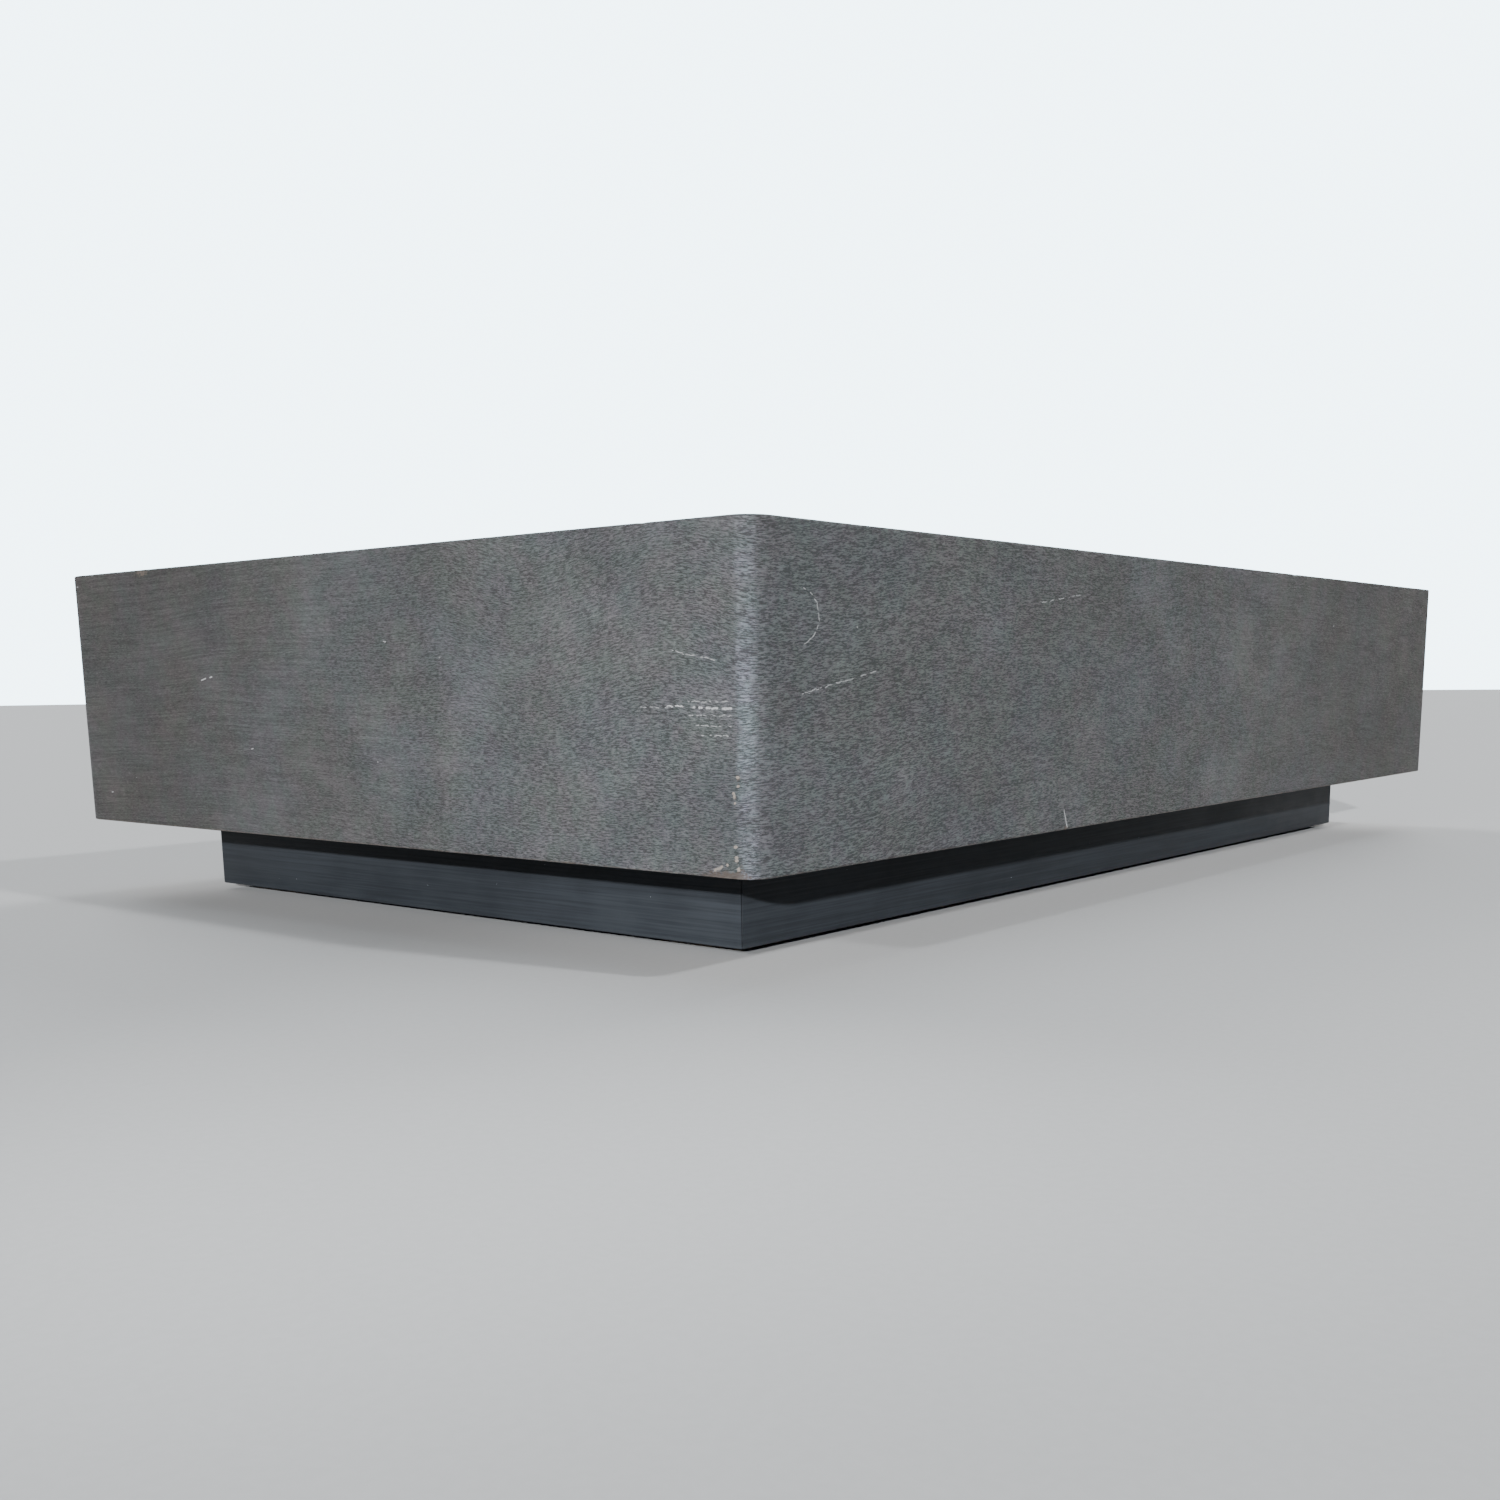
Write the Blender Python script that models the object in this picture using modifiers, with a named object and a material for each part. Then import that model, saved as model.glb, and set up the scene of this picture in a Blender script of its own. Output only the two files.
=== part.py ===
"""Low block coffee table: a hollow block of coated boards on a recessed, mitred plinth.

The frame's origin is on the floor under the middle of the table. X runs along the
length, Y across the width and Z upwards. Front is -Y and left is -X.
"""

import math

import bmesh
import bpy

# Driving dimensions, in metres
LENGTH = 1.219
WIDTH = 0.762
BLOCK_HEIGHT = 0.2065
PLINTH_HEIGHT = 0.059
PLINTH_INSET = 0.0785
GLIDE_HEIGHT = 0.005

COAT = 0.002
CORNER_RADIUS = 0.016
COAT_ARRIS = 0.0015
TOP_THICKNESS = 0.018
SIDE_THICKNESS = 0.018
BOTTOM_THICKNESS = 0.018
POST_SIZE = 0.045
TONGUE_THICKNESS = 0.006
TONGUE_LENGTH = 0.010

RIB_THICKNESS = 0.015
RIB_PITCH = 0.300
CROSS_RIBS = 3

DOWEL_RADIUS = 0.004
DOWEL_IN_TOP = 0.011
DOWEL_IN_SIDE = 0.024
DOWEL_EDGE = 0.0010

RAIL_THICKNESS = 0.018
HOUSING_DEPTH = 0.006
CROSS_RAIL_OFFSET = 0.260
PLINTH_BLOCK = 0.070
GLIDE_SETBACK = 0.024
SCREW_SETBACK = 0.050

SCREW_RADIUS = 0.0025
SCREW_HEAD_RADIUS = 0.0050
SCREW_HEAD_HEIGHT = 0.0030
SCREW_HEAD_EDGE = 0.0010
SCREW_BITE = 0.014
SCREW_POINT = 0.005
COUNTERBORE_RADIUS = 0.0070
COUNTERBORE_DEPTH = 0.025

GLIDE_RADIUS = 0.0125
GLIDE_EDGE = 0.0010
TACK_RADIUS = 0.00175
TACK_HEAD_RADIUS = 0.0040
TACK_HEAD_EDGE = 0.0003
TACK_RECESS = 0.0012
TACK_BITE = 0.014
TACK_POINT = 0.003

# Clearances and facet counts
GAP = 0.0003
HOLE_SPARE = 0.0005
OVERRUN = 0.002
WELD = 1e-6
CORNER_STEPS = 6
ARRIS_STEPS = 2
ROUND_STEPS = 16
GLIDE_STEPS = 24

# Planes that several pieces share, in metres
Z_BLOCK = GLIDE_HEIGHT + PLINTH_HEIGHT
CORE_X = LENGTH / 2 - COAT - GAP
CORE_Y = WIDTH / 2 - COAT - GAP
CORE_RADIUS = CORNER_RADIUS - COAT - GAP
SIDE_HEIGHT = BLOCK_HEIGHT - COAT - TOP_THICKNESS - 2 * GAP
INNER_X = CORE_X - SIDE_THICKNESS - GAP
INNER_Y = CORE_Y - SIDE_THICKNESS - GAP
RIB_FOOT = BOTTOM_THICKNESS + GAP
RIB_HEIGHT = SIDE_HEIGHT - RIB_FOOT
PLINTH_X = LENGTH / 2 - PLINTH_INSET
PLINTH_Y = WIDTH / 2 - PLINTH_INSET
RAIL_HEIGHT = PLINTH_HEIGHT - GAP
RAIL_INNER_X = PLINTH_X - RAIL_THICKNESS
RAIL_INNER_Y = PLINTH_Y - RAIL_THICKNESS
DOWEL_LENGTH = DOWEL_IN_TOP + DOWEL_IN_SIDE


def clear_scene():
    """Removes every object, so that the model starts from nothing."""
    for obj in list(bpy.data.objects):
        bpy.data.objects.remove(obj)


def new_collection(name):
    """A collection linked to the scene."""
    collection = bpy.data.collections.new(name)
    bpy.context.scene.collection.children.link(collection)
    return collection


def new_material(name, colour, roughness, metallic=0.0):
    """A Principled material of one plain finish."""
    material = bpy.data.materials.new(name)
    material.use_nodes = True
    shader = material.node_tree.nodes["Principled BSDF"]
    shader.inputs["Base Color"].default_value = (*colour, 1.0)
    shader.inputs["Roughness"].default_value = roughness
    shader.inputs["Metallic"].default_value = metallic
    material.diffuse_color = (*colour, 1.0)
    return material


def new_empty(name, height):
    """The reference point of a sub-assembly, above the floor by its height."""
    empty = bpy.data.objects.new(name, None)
    empty.location = (0.0, 0.0, height)
    PARTS.objects.link(empty)
    return empty


def place(name, mesh, finish, parent, location, rotation=(0.0, 0.0, 0.0)):
    """One named piece with its own copy of a finish, placed in its sub-assembly."""
    piece = bpy.data.objects.new(name, mesh)
    piece.parent = parent
    piece.location = location
    piece.rotation_euler = rotation
    colour, roughness, metallic = finish
    piece.data.materials.clear()
    piece.data.materials.append(new_material(name, colour, roughness, metallic))
    PARTS.objects.link(piece)
    return piece


def prism_mesh(name, outline, depth):
    """A closed outline in XY, extruded to half its depth on either side and capped."""
    curve = bpy.data.curves.new(name, "CURVE")
    curve.dimensions = "2D"
    curve.fill_mode = "NONE"
    curve.extrude = depth / 2
    spline = curve.splines.new("POLY")
    spline.points.add(len(outline) - 1)
    for point, (x, y) in zip(spline.points, outline):
        point.co = (x, y, 0.0, 1.0)
    spline.use_cyclic_u = True
    guide = bpy.data.objects.new(name + "_outline", curve)
    bpy.context.scene.collection.objects.link(guide)
    bpy.context.view_layer.update()
    graph = bpy.context.evaluated_depsgraph_get()
    mesh = bpy.data.meshes.new_from_object(guide.evaluated_get(graph))
    bpy.data.objects.remove(guide)
    shape = bmesh.new()
    shape.from_mesh(mesh)
    bmesh.ops.remove_doubles(shape, verts=shape.verts, dist=WELD)
    caps = bmesh.ops.holes_fill(shape, edges=shape.edges, sides=0)["faces"]
    bmesh.ops.triangulate(shape, faces=caps, ngon_method="BEAUTY")
    bmesh.ops.recalc_face_normals(shape, faces=shape.faces)
    shape.to_mesh(mesh)
    shape.free()
    mesh.name = name
    return mesh


def round_mesh(name, profile):
    """A profile in XZ turned about Z; it may touch the axis or close on itself."""
    mesh = bpy.data.meshes.new(name)
    shape = bmesh.new()
    corners = [shape.verts.new((radius, 0.0, height)) for radius, height in profile]
    for first, second in zip(corners, corners[1:]):
        shape.edges.new((first, second))
    if profile[0][0] > 0.0:
        shape.edges.new((corners[-1], corners[0]))
    shape.to_mesh(mesh)
    shape.free()
    return mesh


def turn(piece, steps):
    """Turns a piece's profile a full circle about its Z axis."""
    screw = piece.modifiers.new("turned", "SCREW")
    screw.steps = steps
    screw.render_steps = steps
    screw.use_merge_vertices = True
    screw.merge_threshold = WELD


def cut(target, cutter):
    """Takes a cutter, placed in the target's sub-assembly, out of the target."""
    cutter.parent = target.parent
    cutter.hide_render = True
    cutter.display_type = "WIRE"
    CUTTERS.objects.link(cutter)
    removal = target.modifiers.new(cutter.name, "BOOLEAN")
    removal.operation = "DIFFERENCE"
    removal.solver = "EXACT"
    removal.object = cutter


def drill(target, name, radius, depth, mouth):
    """A round hole from the middle of its mouth; a negative depth goes down."""
    mesh = bpy.data.meshes.new(name)
    shape = bmesh.new()
    span = abs(depth) + OVERRUN
    bmesh.ops.create_cone(
        shape,
        cap_ends=True,
        segments=ROUND_STEPS,
        radius1=radius,
        radius2=radius,
        depth=span,
    )
    shape.to_mesh(mesh)
    shape.free()
    cutter = bpy.data.objects.new(name, mesh)
    x, y, z = mouth
    cutter.location = (x, y, z + (depth - math.copysign(OVERRUN, depth)) / 2)
    cut(target, cutter)


def arc(centre_x, centre_y, radius, start):
    """A quarter circle's points from the start angle, counter-clockwise."""
    points = []
    for step in range(CORNER_STEPS + 1):
        angle = start + math.pi / 2 * step / CORNER_STEPS
        points.append(
            (centre_x + radius * math.cos(angle), centre_y + radius * math.sin(angle))
        )
    return points


def rounded_rectangle(half_x, half_y, radius):
    """A rectangle's outline with four round corners."""
    near_x = half_x - radius
    near_y = half_y - radius
    points = arc(near_x, near_y, radius, 0.0)
    points += arc(-near_x, near_y, radius, math.pi / 2)
    points += arc(-near_x, -near_y, radius, math.pi)
    points += arc(near_x, -near_y, radius, 3 * math.pi / 2)
    return points


def rectangle(half_x, half_y):
    """A rectangle's outline about the origin."""
    return [(-half_x, -half_y), (half_x, -half_y), (half_x, half_y), (-half_x, half_y)]


def round_edges(shape, edges, radius, steps):
    """Rounds some of a shape's edges to a radius."""
    bmesh.ops.bevel(
        shape,
        geom=edges,
        offset=radius,
        segments=steps,
        profile=0.5,
        affect="EDGES",
    )


def make_coat(parent):
    """The trowelled coat: one shell over the top and the four sides, open below."""
    mesh = bpy.data.meshes.new("textured_coat")
    shape = bmesh.new()
    bmesh.ops.create_cube(shape, size=1.0)
    bmesh.ops.scale(shape, vec=(LENGTH, WIDTH, BLOCK_HEIGHT), verts=shape.verts)
    upright = [e for e in shape.edges if e.verts[0].co.z * e.verts[1].co.z < 0]
    round_edges(shape, upright, CORNER_RADIUS, CORNER_STEPS)
    upper = [e for e in shape.edges if min(v.co.z for v in e.verts) > 0]
    round_edges(shape, upper, COAT_ARRIS, ARRIS_STEPS)
    shape.to_mesh(mesh)
    shape.free()
    coat = place("textured_coat", mesh, STONE_COAT, parent, (0, 0, BLOCK_HEIGHT / 2))
    inner = rounded_rectangle(LENGTH / 2 - COAT, WIDTH / 2 - COAT, CORNER_RADIUS - COAT)
    depth = BLOCK_HEIGHT - COAT + OVERRUN
    cutter = bpy.data.objects.new("coat_inside", prism_mesh("coat_inside", inner, depth))
    cutter.location = (0, 0, depth / 2 - OVERRUN)
    cut(coat, cutter)


def make_top_board(parent):
    """The board under the coat's top, full size, with round corners."""
    outline = rounded_rectangle(CORE_X, CORE_Y, CORE_RADIUS)
    mesh = prism_mesh("top_board", outline, TOP_THICKNESS)
    height = SIDE_HEIGHT + GAP + TOP_THICKNESS / 2
    return place("top_board", mesh, FIBREBOARD, parent, (0, 0, height))


def post_outline():
    """A corner post for the +X +Y corner, about its own middle, with two grooves."""
    half = POST_SIZE / 2
    groove = TONGUE_THICKNESS / 2 + GAP
    middle = half - SIDE_THICKNESS / 2
    floor = TONGUE_LENGTH - half
    points = [(-half, -half)]
    points += [(middle - groove, -half), (middle - groove, floor)]
    points += [(middle + groove, floor), (middle + groove, -half)]
    points += [(half, -half)]
    points += arc(half - CORE_RADIUS, half - CORE_RADIUS, CORE_RADIUS, 0.0)
    points += [(-half, half)]
    points += [(-half, middle + groove), (floor, middle + groove)]
    points += [(floor, middle - groove), (-half, middle - groove)]
    return points


def make_corner_posts(parent):
    """Four solid posts, each turned a quarter further than the one before it."""
    posts = []
    for index, (name, side_x, side_y) in enumerate(CORNERS):
        piece_name = "corner_post_" + name
        mesh = prism_mesh(piece_name, post_outline(), SIDE_HEIGHT)
        x = side_x * (CORE_X - POST_SIZE / 2)
        y = side_y * (CORE_Y - POST_SIZE / 2)
        quarter = (0.0, 0.0, index * math.pi / 2)
        spot = (x, y, SIDE_HEIGHT / 2)
        posts.append(place(piece_name, mesh, SOLID_WOOD, parent, spot, quarter))
    return posts


def side_outline(half_run):
    """A side board in plan along X, with a tongue at each end."""
    half = SIDE_THICKNESS / 2
    tongue = TONGUE_THICKNESS / 2
    tip = half_run + TONGUE_LENGTH
    points = [(-half_run, -half), (half_run, -half), (half_run, -tongue)]
    points += [(tip, -tongue), (tip, tongue), (half_run, tongue)]
    points += [(half_run, half), (-half_run, half), (-half_run, tongue)]
    points += [(-tip, tongue), (-tip, -tongue), (-half_run, -tongue)]
    return points


def make_side_boards(parent):
    """Two long and two short side boards, tongued into the posts."""
    boards = []
    for name, side_x, side_y in SIDES:
        across = side_x != 0
        core = CORE_Y if across else CORE_X
        mesh = prism_mesh(name, side_outline(core - POST_SIZE - GAP), SIDE_HEIGHT)
        x = side_x * (CORE_X - SIDE_THICKNESS / 2)
        y = side_y * (CORE_Y - SIDE_THICKNESS / 2)
        turn_z = (0.0, 0.0, math.pi / 2 if across else 0.0)
        spot = (x, y, SIDE_HEIGHT / 2)
        boards.append(place(name, mesh, FIBREBOARD, parent, spot, turn_z))
    return boards


def make_bottom_board(parent):
    """The board that closes the block from below, notched round the posts."""
    notch_x = CORE_X - POST_SIZE - GAP
    notch_y = CORE_Y - POST_SIZE - GAP
    outline = []
    for side_x, side_y in ((1, 1), (-1, 1), (-1, -1), (1, -1)):
        steps = [(INNER_X, notch_y), (notch_x, notch_y), (notch_x, INNER_Y)]
        if side_x * side_y < 0:
            steps.reverse()
        outline += [(side_x * x, side_y * y) for x, y in steps]
    mesh = prism_mesh("bottom_board", outline, BOTTOM_THICKNESS)
    return place("bottom_board", mesh, FIBREBOARD, parent, (0, 0, BOTTOM_THICKNESS / 2))


def rib_outline(half_run, slots, from_top):
    """A rib's face, foot at zero, with half-depth slots from its top or its foot."""
    slot_half = RIB_THICKNESS / 2 + GAP
    floor = (RIB_HEIGHT - GAP) / 2 if from_top else (RIB_HEIGHT + GAP) / 2
    slotted_edge = []
    for middle in slots:
        edge = RIB_HEIGHT if from_top else 0.0
        slotted_edge += [(middle - slot_half, edge), (middle - slot_half, floor)]
        slotted_edge += [(middle + slot_half, floor), (middle + slot_half, edge)]
    foot = [(-half_run, 0.0), (half_run, 0.0)]
    head = [(half_run, RIB_HEIGHT), (-half_run, RIB_HEIGHT)]
    if from_top:
        return foot + head[:1] + slotted_edge[::-1] + head[1:]
    return foot[:1] + slotted_edge + foot[1:] + head


def make_ribs(parent):
    """A lengthwise spine and the cross ribs, half-lapped where they meet."""
    places = [RIB_PITCH * (i - (CROSS_RIBS - 1) / 2) for i in range(CROSS_RIBS)]
    mesh = prism_mesh("spine_rib", rib_outline(INNER_X, places, True), RIB_THICKNESS)
    upright = (math.pi / 2, 0.0, 0.0)
    place("spine_rib", mesh, FIBREBOARD, parent, (0, 0, RIB_FOOT), upright)
    across = (math.pi / 2, 0.0, math.pi / 2)
    for number, x in enumerate(places, 1):
        name = f"cross_rib_{number}"
        mesh = prism_mesh(name, rib_outline(INNER_Y, [0.0], False), RIB_THICKNESS)
        place(name, mesh, FIBREBOARD, parent, (x, 0, RIB_FOOT), across)


def make_dowels(parent, top_board, posts, boards):
    """Beech dowels from the posts and the side boards up into the top board."""
    seats = []
    for (name, side_x, side_y), post in zip(CORNERS, posts):
        x = side_x * (CORE_X - POST_SIZE / 2)
        y = side_y * (CORE_Y - POST_SIZE / 2)
        seats.append(("post_dowel_" + name, x, y, post))
    for (name, side_x, side_y), board in zip(SIDES, boards):
        x = side_x * (CORE_X - SIDE_THICKNESS / 2)
        y = side_y * (CORE_Y - SIDE_THICKNESS / 2)
        seats.append((name.replace("side_board", "side_dowel"), x, y, board))
    for name, x, y, holder in seats:
        foot = SIDE_HEIGHT - DOWEL_IN_SIDE
        end = DOWEL_RADIUS - DOWEL_EDGE
        profile = [(0.0, DOWEL_LENGTH), (end, DOWEL_LENGTH)]
        profile += [(DOWEL_RADIUS, DOWEL_LENGTH - DOWEL_EDGE), (DOWEL_RADIUS, DOWEL_EDGE)]
        profile += [(end, 0.0), (0.0, 0.0)]
        dowel = place(name, round_mesh(name, profile), BEECH, parent, (x, y, foot))
        turn(dowel, ROUND_STEPS)
        hole = DOWEL_RADIUS + GAP
        down = -(DOWEL_IN_SIDE + HOLE_SPARE)
        drill(holder, name + "_hole", hole, down, (x, y, SIDE_HEIGHT))
        up = DOWEL_IN_TOP + HOLE_SPARE
        drill(top_board, name + "_top_hole", hole, up, (x, y, SIDE_HEIGHT + GAP))


def rail_outline(half_run, housings):
    """A plinth rail in plan along X with its outer face at -Y and mitred ends."""
    mitre = GAP / math.sqrt(2)
    outer = half_run - mitre
    inner = half_run - RAIL_THICKNESS - mitre
    half = RAIL_THICKNESS / 2
    slot_half = RAIL_THICKNESS / 2 + GAP
    points = [(-outer, -half), (outer, -half), (inner, half)]
    for middle in sorted(housings, reverse=True):
        points += [(middle + slot_half, half), (middle + slot_half, half - HOUSING_DEPTH)]
        points += [(middle - slot_half, half - HOUSING_DEPTH), (middle - slot_half, half)]
    points.append((-inner, half))
    return points


def make_plinth_rails(parent):
    """Four mitred rails, and two cross rails housed in the long ones."""
    for index, (name, side_x, side_y) in enumerate(PLINTH_SIDES):
        lengthwise = side_x == 0
        housings = [-CROSS_RAIL_OFFSET, CROSS_RAIL_OFFSET] if lengthwise else []
        half_run = PLINTH_X if lengthwise else PLINTH_Y
        piece_name = "plinth_rail_" + name
        mesh = prism_mesh(piece_name, rail_outline(half_run, housings), RAIL_HEIGHT)
        x = side_x * (PLINTH_X - RAIL_THICKNESS / 2)
        y = side_y * (PLINTH_Y - RAIL_THICKNESS / 2)
        quarter = (0.0, 0.0, index * math.pi / 2)
        spot = (x, y, RAIL_HEIGHT / 2)
        place(piece_name, mesh, PLINTH_PAINT, parent, spot, quarter)
    reach = RAIL_INNER_Y + HOUSING_DEPTH - GAP
    for name, side in (("left", -1), ("right", 1)):
        piece_name = "plinth_cross_rail_" + name
        mesh = prism_mesh(piece_name, rectangle(RAIL_THICKNESS / 2, reach), RAIL_HEIGHT)
        spot = (side * CROSS_RAIL_OFFSET, 0, RAIL_HEIGHT / 2)
        place(piece_name, mesh, SOLID_WOOD, parent, spot)


def make_plinth_block(parent, bottom_board, name, x, y, glide, screw):
    """One block inside the plinth with its screw, its glide and the glide's tack."""
    square = rectangle(PLINTH_BLOCK / 2, PLINTH_BLOCK / 2)
    mesh = prism_mesh("plinth_block_" + name, square, RAIL_HEIGHT)
    spot = (x, y, RAIL_HEIGHT / 2)
    block = place("plinth_block_" + name, mesh, SOLID_WOOD, parent, spot)
    hole = SCREW_RADIUS + GAP
    drill(block, name + "_screw_hole", hole, RAIL_HEIGHT + OVERRUN, (*screw, 0.0))
    drill(block, name + "_counterbore", COUNTERBORE_RADIUS, COUNTERBORE_DEPTH, (*screw, 0.0))
    drill(bottom_board, name + "_board_hole", hole, SCREW_BITE + HOLE_SPARE, (*screw, 0.0))
    make_plinth_screw(parent, name, *screw)
    pilot = TACK_BITE + HOLE_SPARE
    drill(block, name + "_tack_hole", TACK_RADIUS + GAP, pilot, (*glide, 0.0))
    make_glide(parent, name, *glide)


def make_plinth_screw(parent, name, x, y):
    """A pan-headed wood screw from the counterbore up into the bottom board."""
    seat = COUNTERBORE_DEPTH - GAP
    foot = seat - SCREW_HEAD_HEIGHT
    tip = PLINTH_HEIGHT + SCREW_BITE
    profile = [(0.0, tip), (SCREW_RADIUS, tip - SCREW_POINT), (SCREW_RADIUS, seat)]
    profile += [(SCREW_HEAD_RADIUS, seat), (SCREW_HEAD_RADIUS, foot + SCREW_HEAD_EDGE)]
    profile += [(SCREW_HEAD_RADIUS - SCREW_HEAD_EDGE, foot), (0.0, foot)]
    mesh = round_mesh("plinth_screw_" + name, profile)
    screw = place("plinth_screw_" + name, mesh, ZINC_STEEL, parent, (x, y, 0.0))
    turn(screw, ROUND_STEPS)


def make_glide(parent, name, x, y):
    """A round glide under a block, and the countersunk screw that holds it."""
    top = GLIDE_HEIGHT - GAP
    shoulder = TACK_RECESS + TACK_HEAD_EDGE
    neck = shoulder + TACK_HEAD_RADIUS - TACK_RADIUS
    ring = [(TACK_RADIUS + GAP, top), (GLIDE_RADIUS, top), (GLIDE_RADIUS, GLIDE_EDGE)]
    ring += [(GLIDE_RADIUS - GLIDE_EDGE, 0.0), (TACK_HEAD_RADIUS + GAP, 0.0)]
    ring += [(TACK_HEAD_RADIUS + GAP, shoulder), (TACK_RADIUS + GAP, neck)]
    mesh = round_mesh("glide_" + name, ring)
    glide = place("glide_" + name, mesh, NYLON, parent, (x, y, -GLIDE_HEIGHT))
    turn(glide, GLIDE_STEPS)
    tip = GLIDE_HEIGHT + TACK_BITE
    profile = [(0.0, tip), (TACK_RADIUS, tip - TACK_POINT), (TACK_RADIUS, neck)]
    profile += [(TACK_HEAD_RADIUS, shoulder), (TACK_HEAD_RADIUS, TACK_RECESS)]
    profile += [(0.0, TACK_RECESS)]
    mesh = round_mesh("glide_screw_" + name, profile)
    tack = place("glide_screw_" + name, mesh, ZINC_STEEL, parent, (x, y, -GLIDE_HEIGHT))
    turn(tack, ROUND_STEPS)


def make_plinth_blocks(parent, bottom_board):
    """A block in each corner of the plinth and one against each long rail."""
    half = PLINTH_BLOCK / 2
    corner_x = RAIL_INNER_X - GAP
    corner_y = RAIL_INNER_Y - GAP
    for name, side_x, side_y in CORNERS:
        x = side_x * (corner_x - half)
        y = side_y * (corner_y - half)
        glide = (side_x * (corner_x - GLIDE_SETBACK), side_y * (corner_y - GLIDE_SETBACK))
        screw = (side_x * (corner_x - SCREW_SETBACK), side_y * (corner_y - SCREW_SETBACK))
        make_plinth_block(parent, bottom_board, name, x, y, glide, screw)
    for name, side_y in (("middle_front", -1), ("middle_back", 1)):
        y = side_y * (corner_y - half)
        glide = (0.0, side_y * (corner_y - GLIDE_SETBACK))
        screw = (0.0, side_y * (corner_y - SCREW_SETBACK))
        make_plinth_block(parent, bottom_board, name, 0.0, y, glide, screw)


# Names and sides of what repeats: +1 and -1 are the ends of X and of Y
CORNERS = (
    ("back_right", 1, 1),
    ("back_left", -1, 1),
    ("front_left", -1, -1),
    ("front_right", 1, -1),
)
SIDES = (
    ("side_board_front", 0, -1),
    ("side_board_back", 0, 1),
    ("side_board_left", -1, 0),
    ("side_board_right", 1, 0),
)
PLINTH_SIDES = (("front", 0, -1), ("right", 1, 0), ("back", 0, 1), ("left", -1, 0))

# Finishes: linear colour, roughness, metallic
STONE_COAT = ((0.160, 0.170, 0.182), 0.82, 0.0)
FIBREBOARD = ((0.400, 0.270, 0.160), 0.85, 0.0)
SOLID_WOOD = ((0.520, 0.360, 0.200), 0.70, 0.0)
BEECH = ((0.560, 0.390, 0.230), 0.65, 0.0)
PLINTH_PAINT = ((0.040, 0.046, 0.055), 0.42, 0.0)
NYLON = ((0.030, 0.030, 0.032), 0.50, 0.0)
ZINC_STEEL = ((0.550, 0.550, 0.540), 0.35, 1.0)

clear_scene()
PARTS = new_collection("block_coffee_table")
CUTTERS = new_collection("block_coffee_table_cutters")
BLOCK_FRAME = new_empty("block_frame", Z_BLOCK)
PLINTH_FRAME = new_empty("plinth_frame", GLIDE_HEIGHT)

make_coat(BLOCK_FRAME)
TOP_BOARD = make_top_board(BLOCK_FRAME)
POSTS = make_corner_posts(BLOCK_FRAME)
SIDE_BOARDS = make_side_boards(BLOCK_FRAME)
BOTTOM_BOARD = make_bottom_board(BLOCK_FRAME)
make_ribs(BLOCK_FRAME)
make_dowels(BLOCK_FRAME, TOP_BOARD, POSTS, SIDE_BOARDS)
make_plinth_rails(PLINTH_FRAME)
make_plinth_blocks(PLINTH_FRAME, BOTTOM_BOARD)
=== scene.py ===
"""Looks of a low block coffee table: a trowelled stone-look coat on a recessed, painted plinth.

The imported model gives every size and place. X runs along the length, Y across the width
and Z upwards, with the floor at zero. Front is -Y and left is -X.
"""

import logging
import math
from dataclasses import dataclass, field
from enum import Enum
from typing import Any

import bmesh
import bpy
import numpy as np
from mathutils import Matrix, Vector
from mathutils.geometry import delaunay_2d_cdt


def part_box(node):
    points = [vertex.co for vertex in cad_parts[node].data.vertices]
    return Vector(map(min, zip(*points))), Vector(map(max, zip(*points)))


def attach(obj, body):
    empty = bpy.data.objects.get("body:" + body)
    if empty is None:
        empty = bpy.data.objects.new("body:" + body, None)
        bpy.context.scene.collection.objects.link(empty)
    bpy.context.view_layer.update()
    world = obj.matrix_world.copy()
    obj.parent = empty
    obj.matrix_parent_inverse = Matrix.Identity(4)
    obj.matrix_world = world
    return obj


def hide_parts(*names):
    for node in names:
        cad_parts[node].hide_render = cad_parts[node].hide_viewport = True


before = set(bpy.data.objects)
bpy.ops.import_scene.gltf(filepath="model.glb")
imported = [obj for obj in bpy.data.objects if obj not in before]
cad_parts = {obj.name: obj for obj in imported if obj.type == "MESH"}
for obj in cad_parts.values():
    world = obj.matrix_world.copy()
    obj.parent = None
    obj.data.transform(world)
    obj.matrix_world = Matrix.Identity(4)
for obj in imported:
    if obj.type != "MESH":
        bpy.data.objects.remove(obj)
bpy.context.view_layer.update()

MM = 0.001
BODY = "root"
LOG = logging.getLogger("block_coffee_table")

Colour = tuple[float, float, float]
Point2 = tuple[float, float]
Point3 = tuple[float, float, float]
Socket = bpy.types.NodeSocket
Object = bpy.types.Object


class Slot(Enum):
    """The record's material slots."""

    COAT = "stone_coat"
    FIBREBOARD = "fibreboard"
    SOFTWOOD = "softwood"
    BEECH = "beech"
    PAINT = "plinth_paint"
    STEEL = "zinc_steel"
    NYLON = "nylon"


class Side(Enum):
    """The block's upright faces, each with its outward direction in plan."""

    FRONT = (0, -1)
    BACK = (0, 1)
    LEFT = (-1, 0)
    RIGHT = (1, 0)


# ---------------------------------------------------------------- node trees


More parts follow.
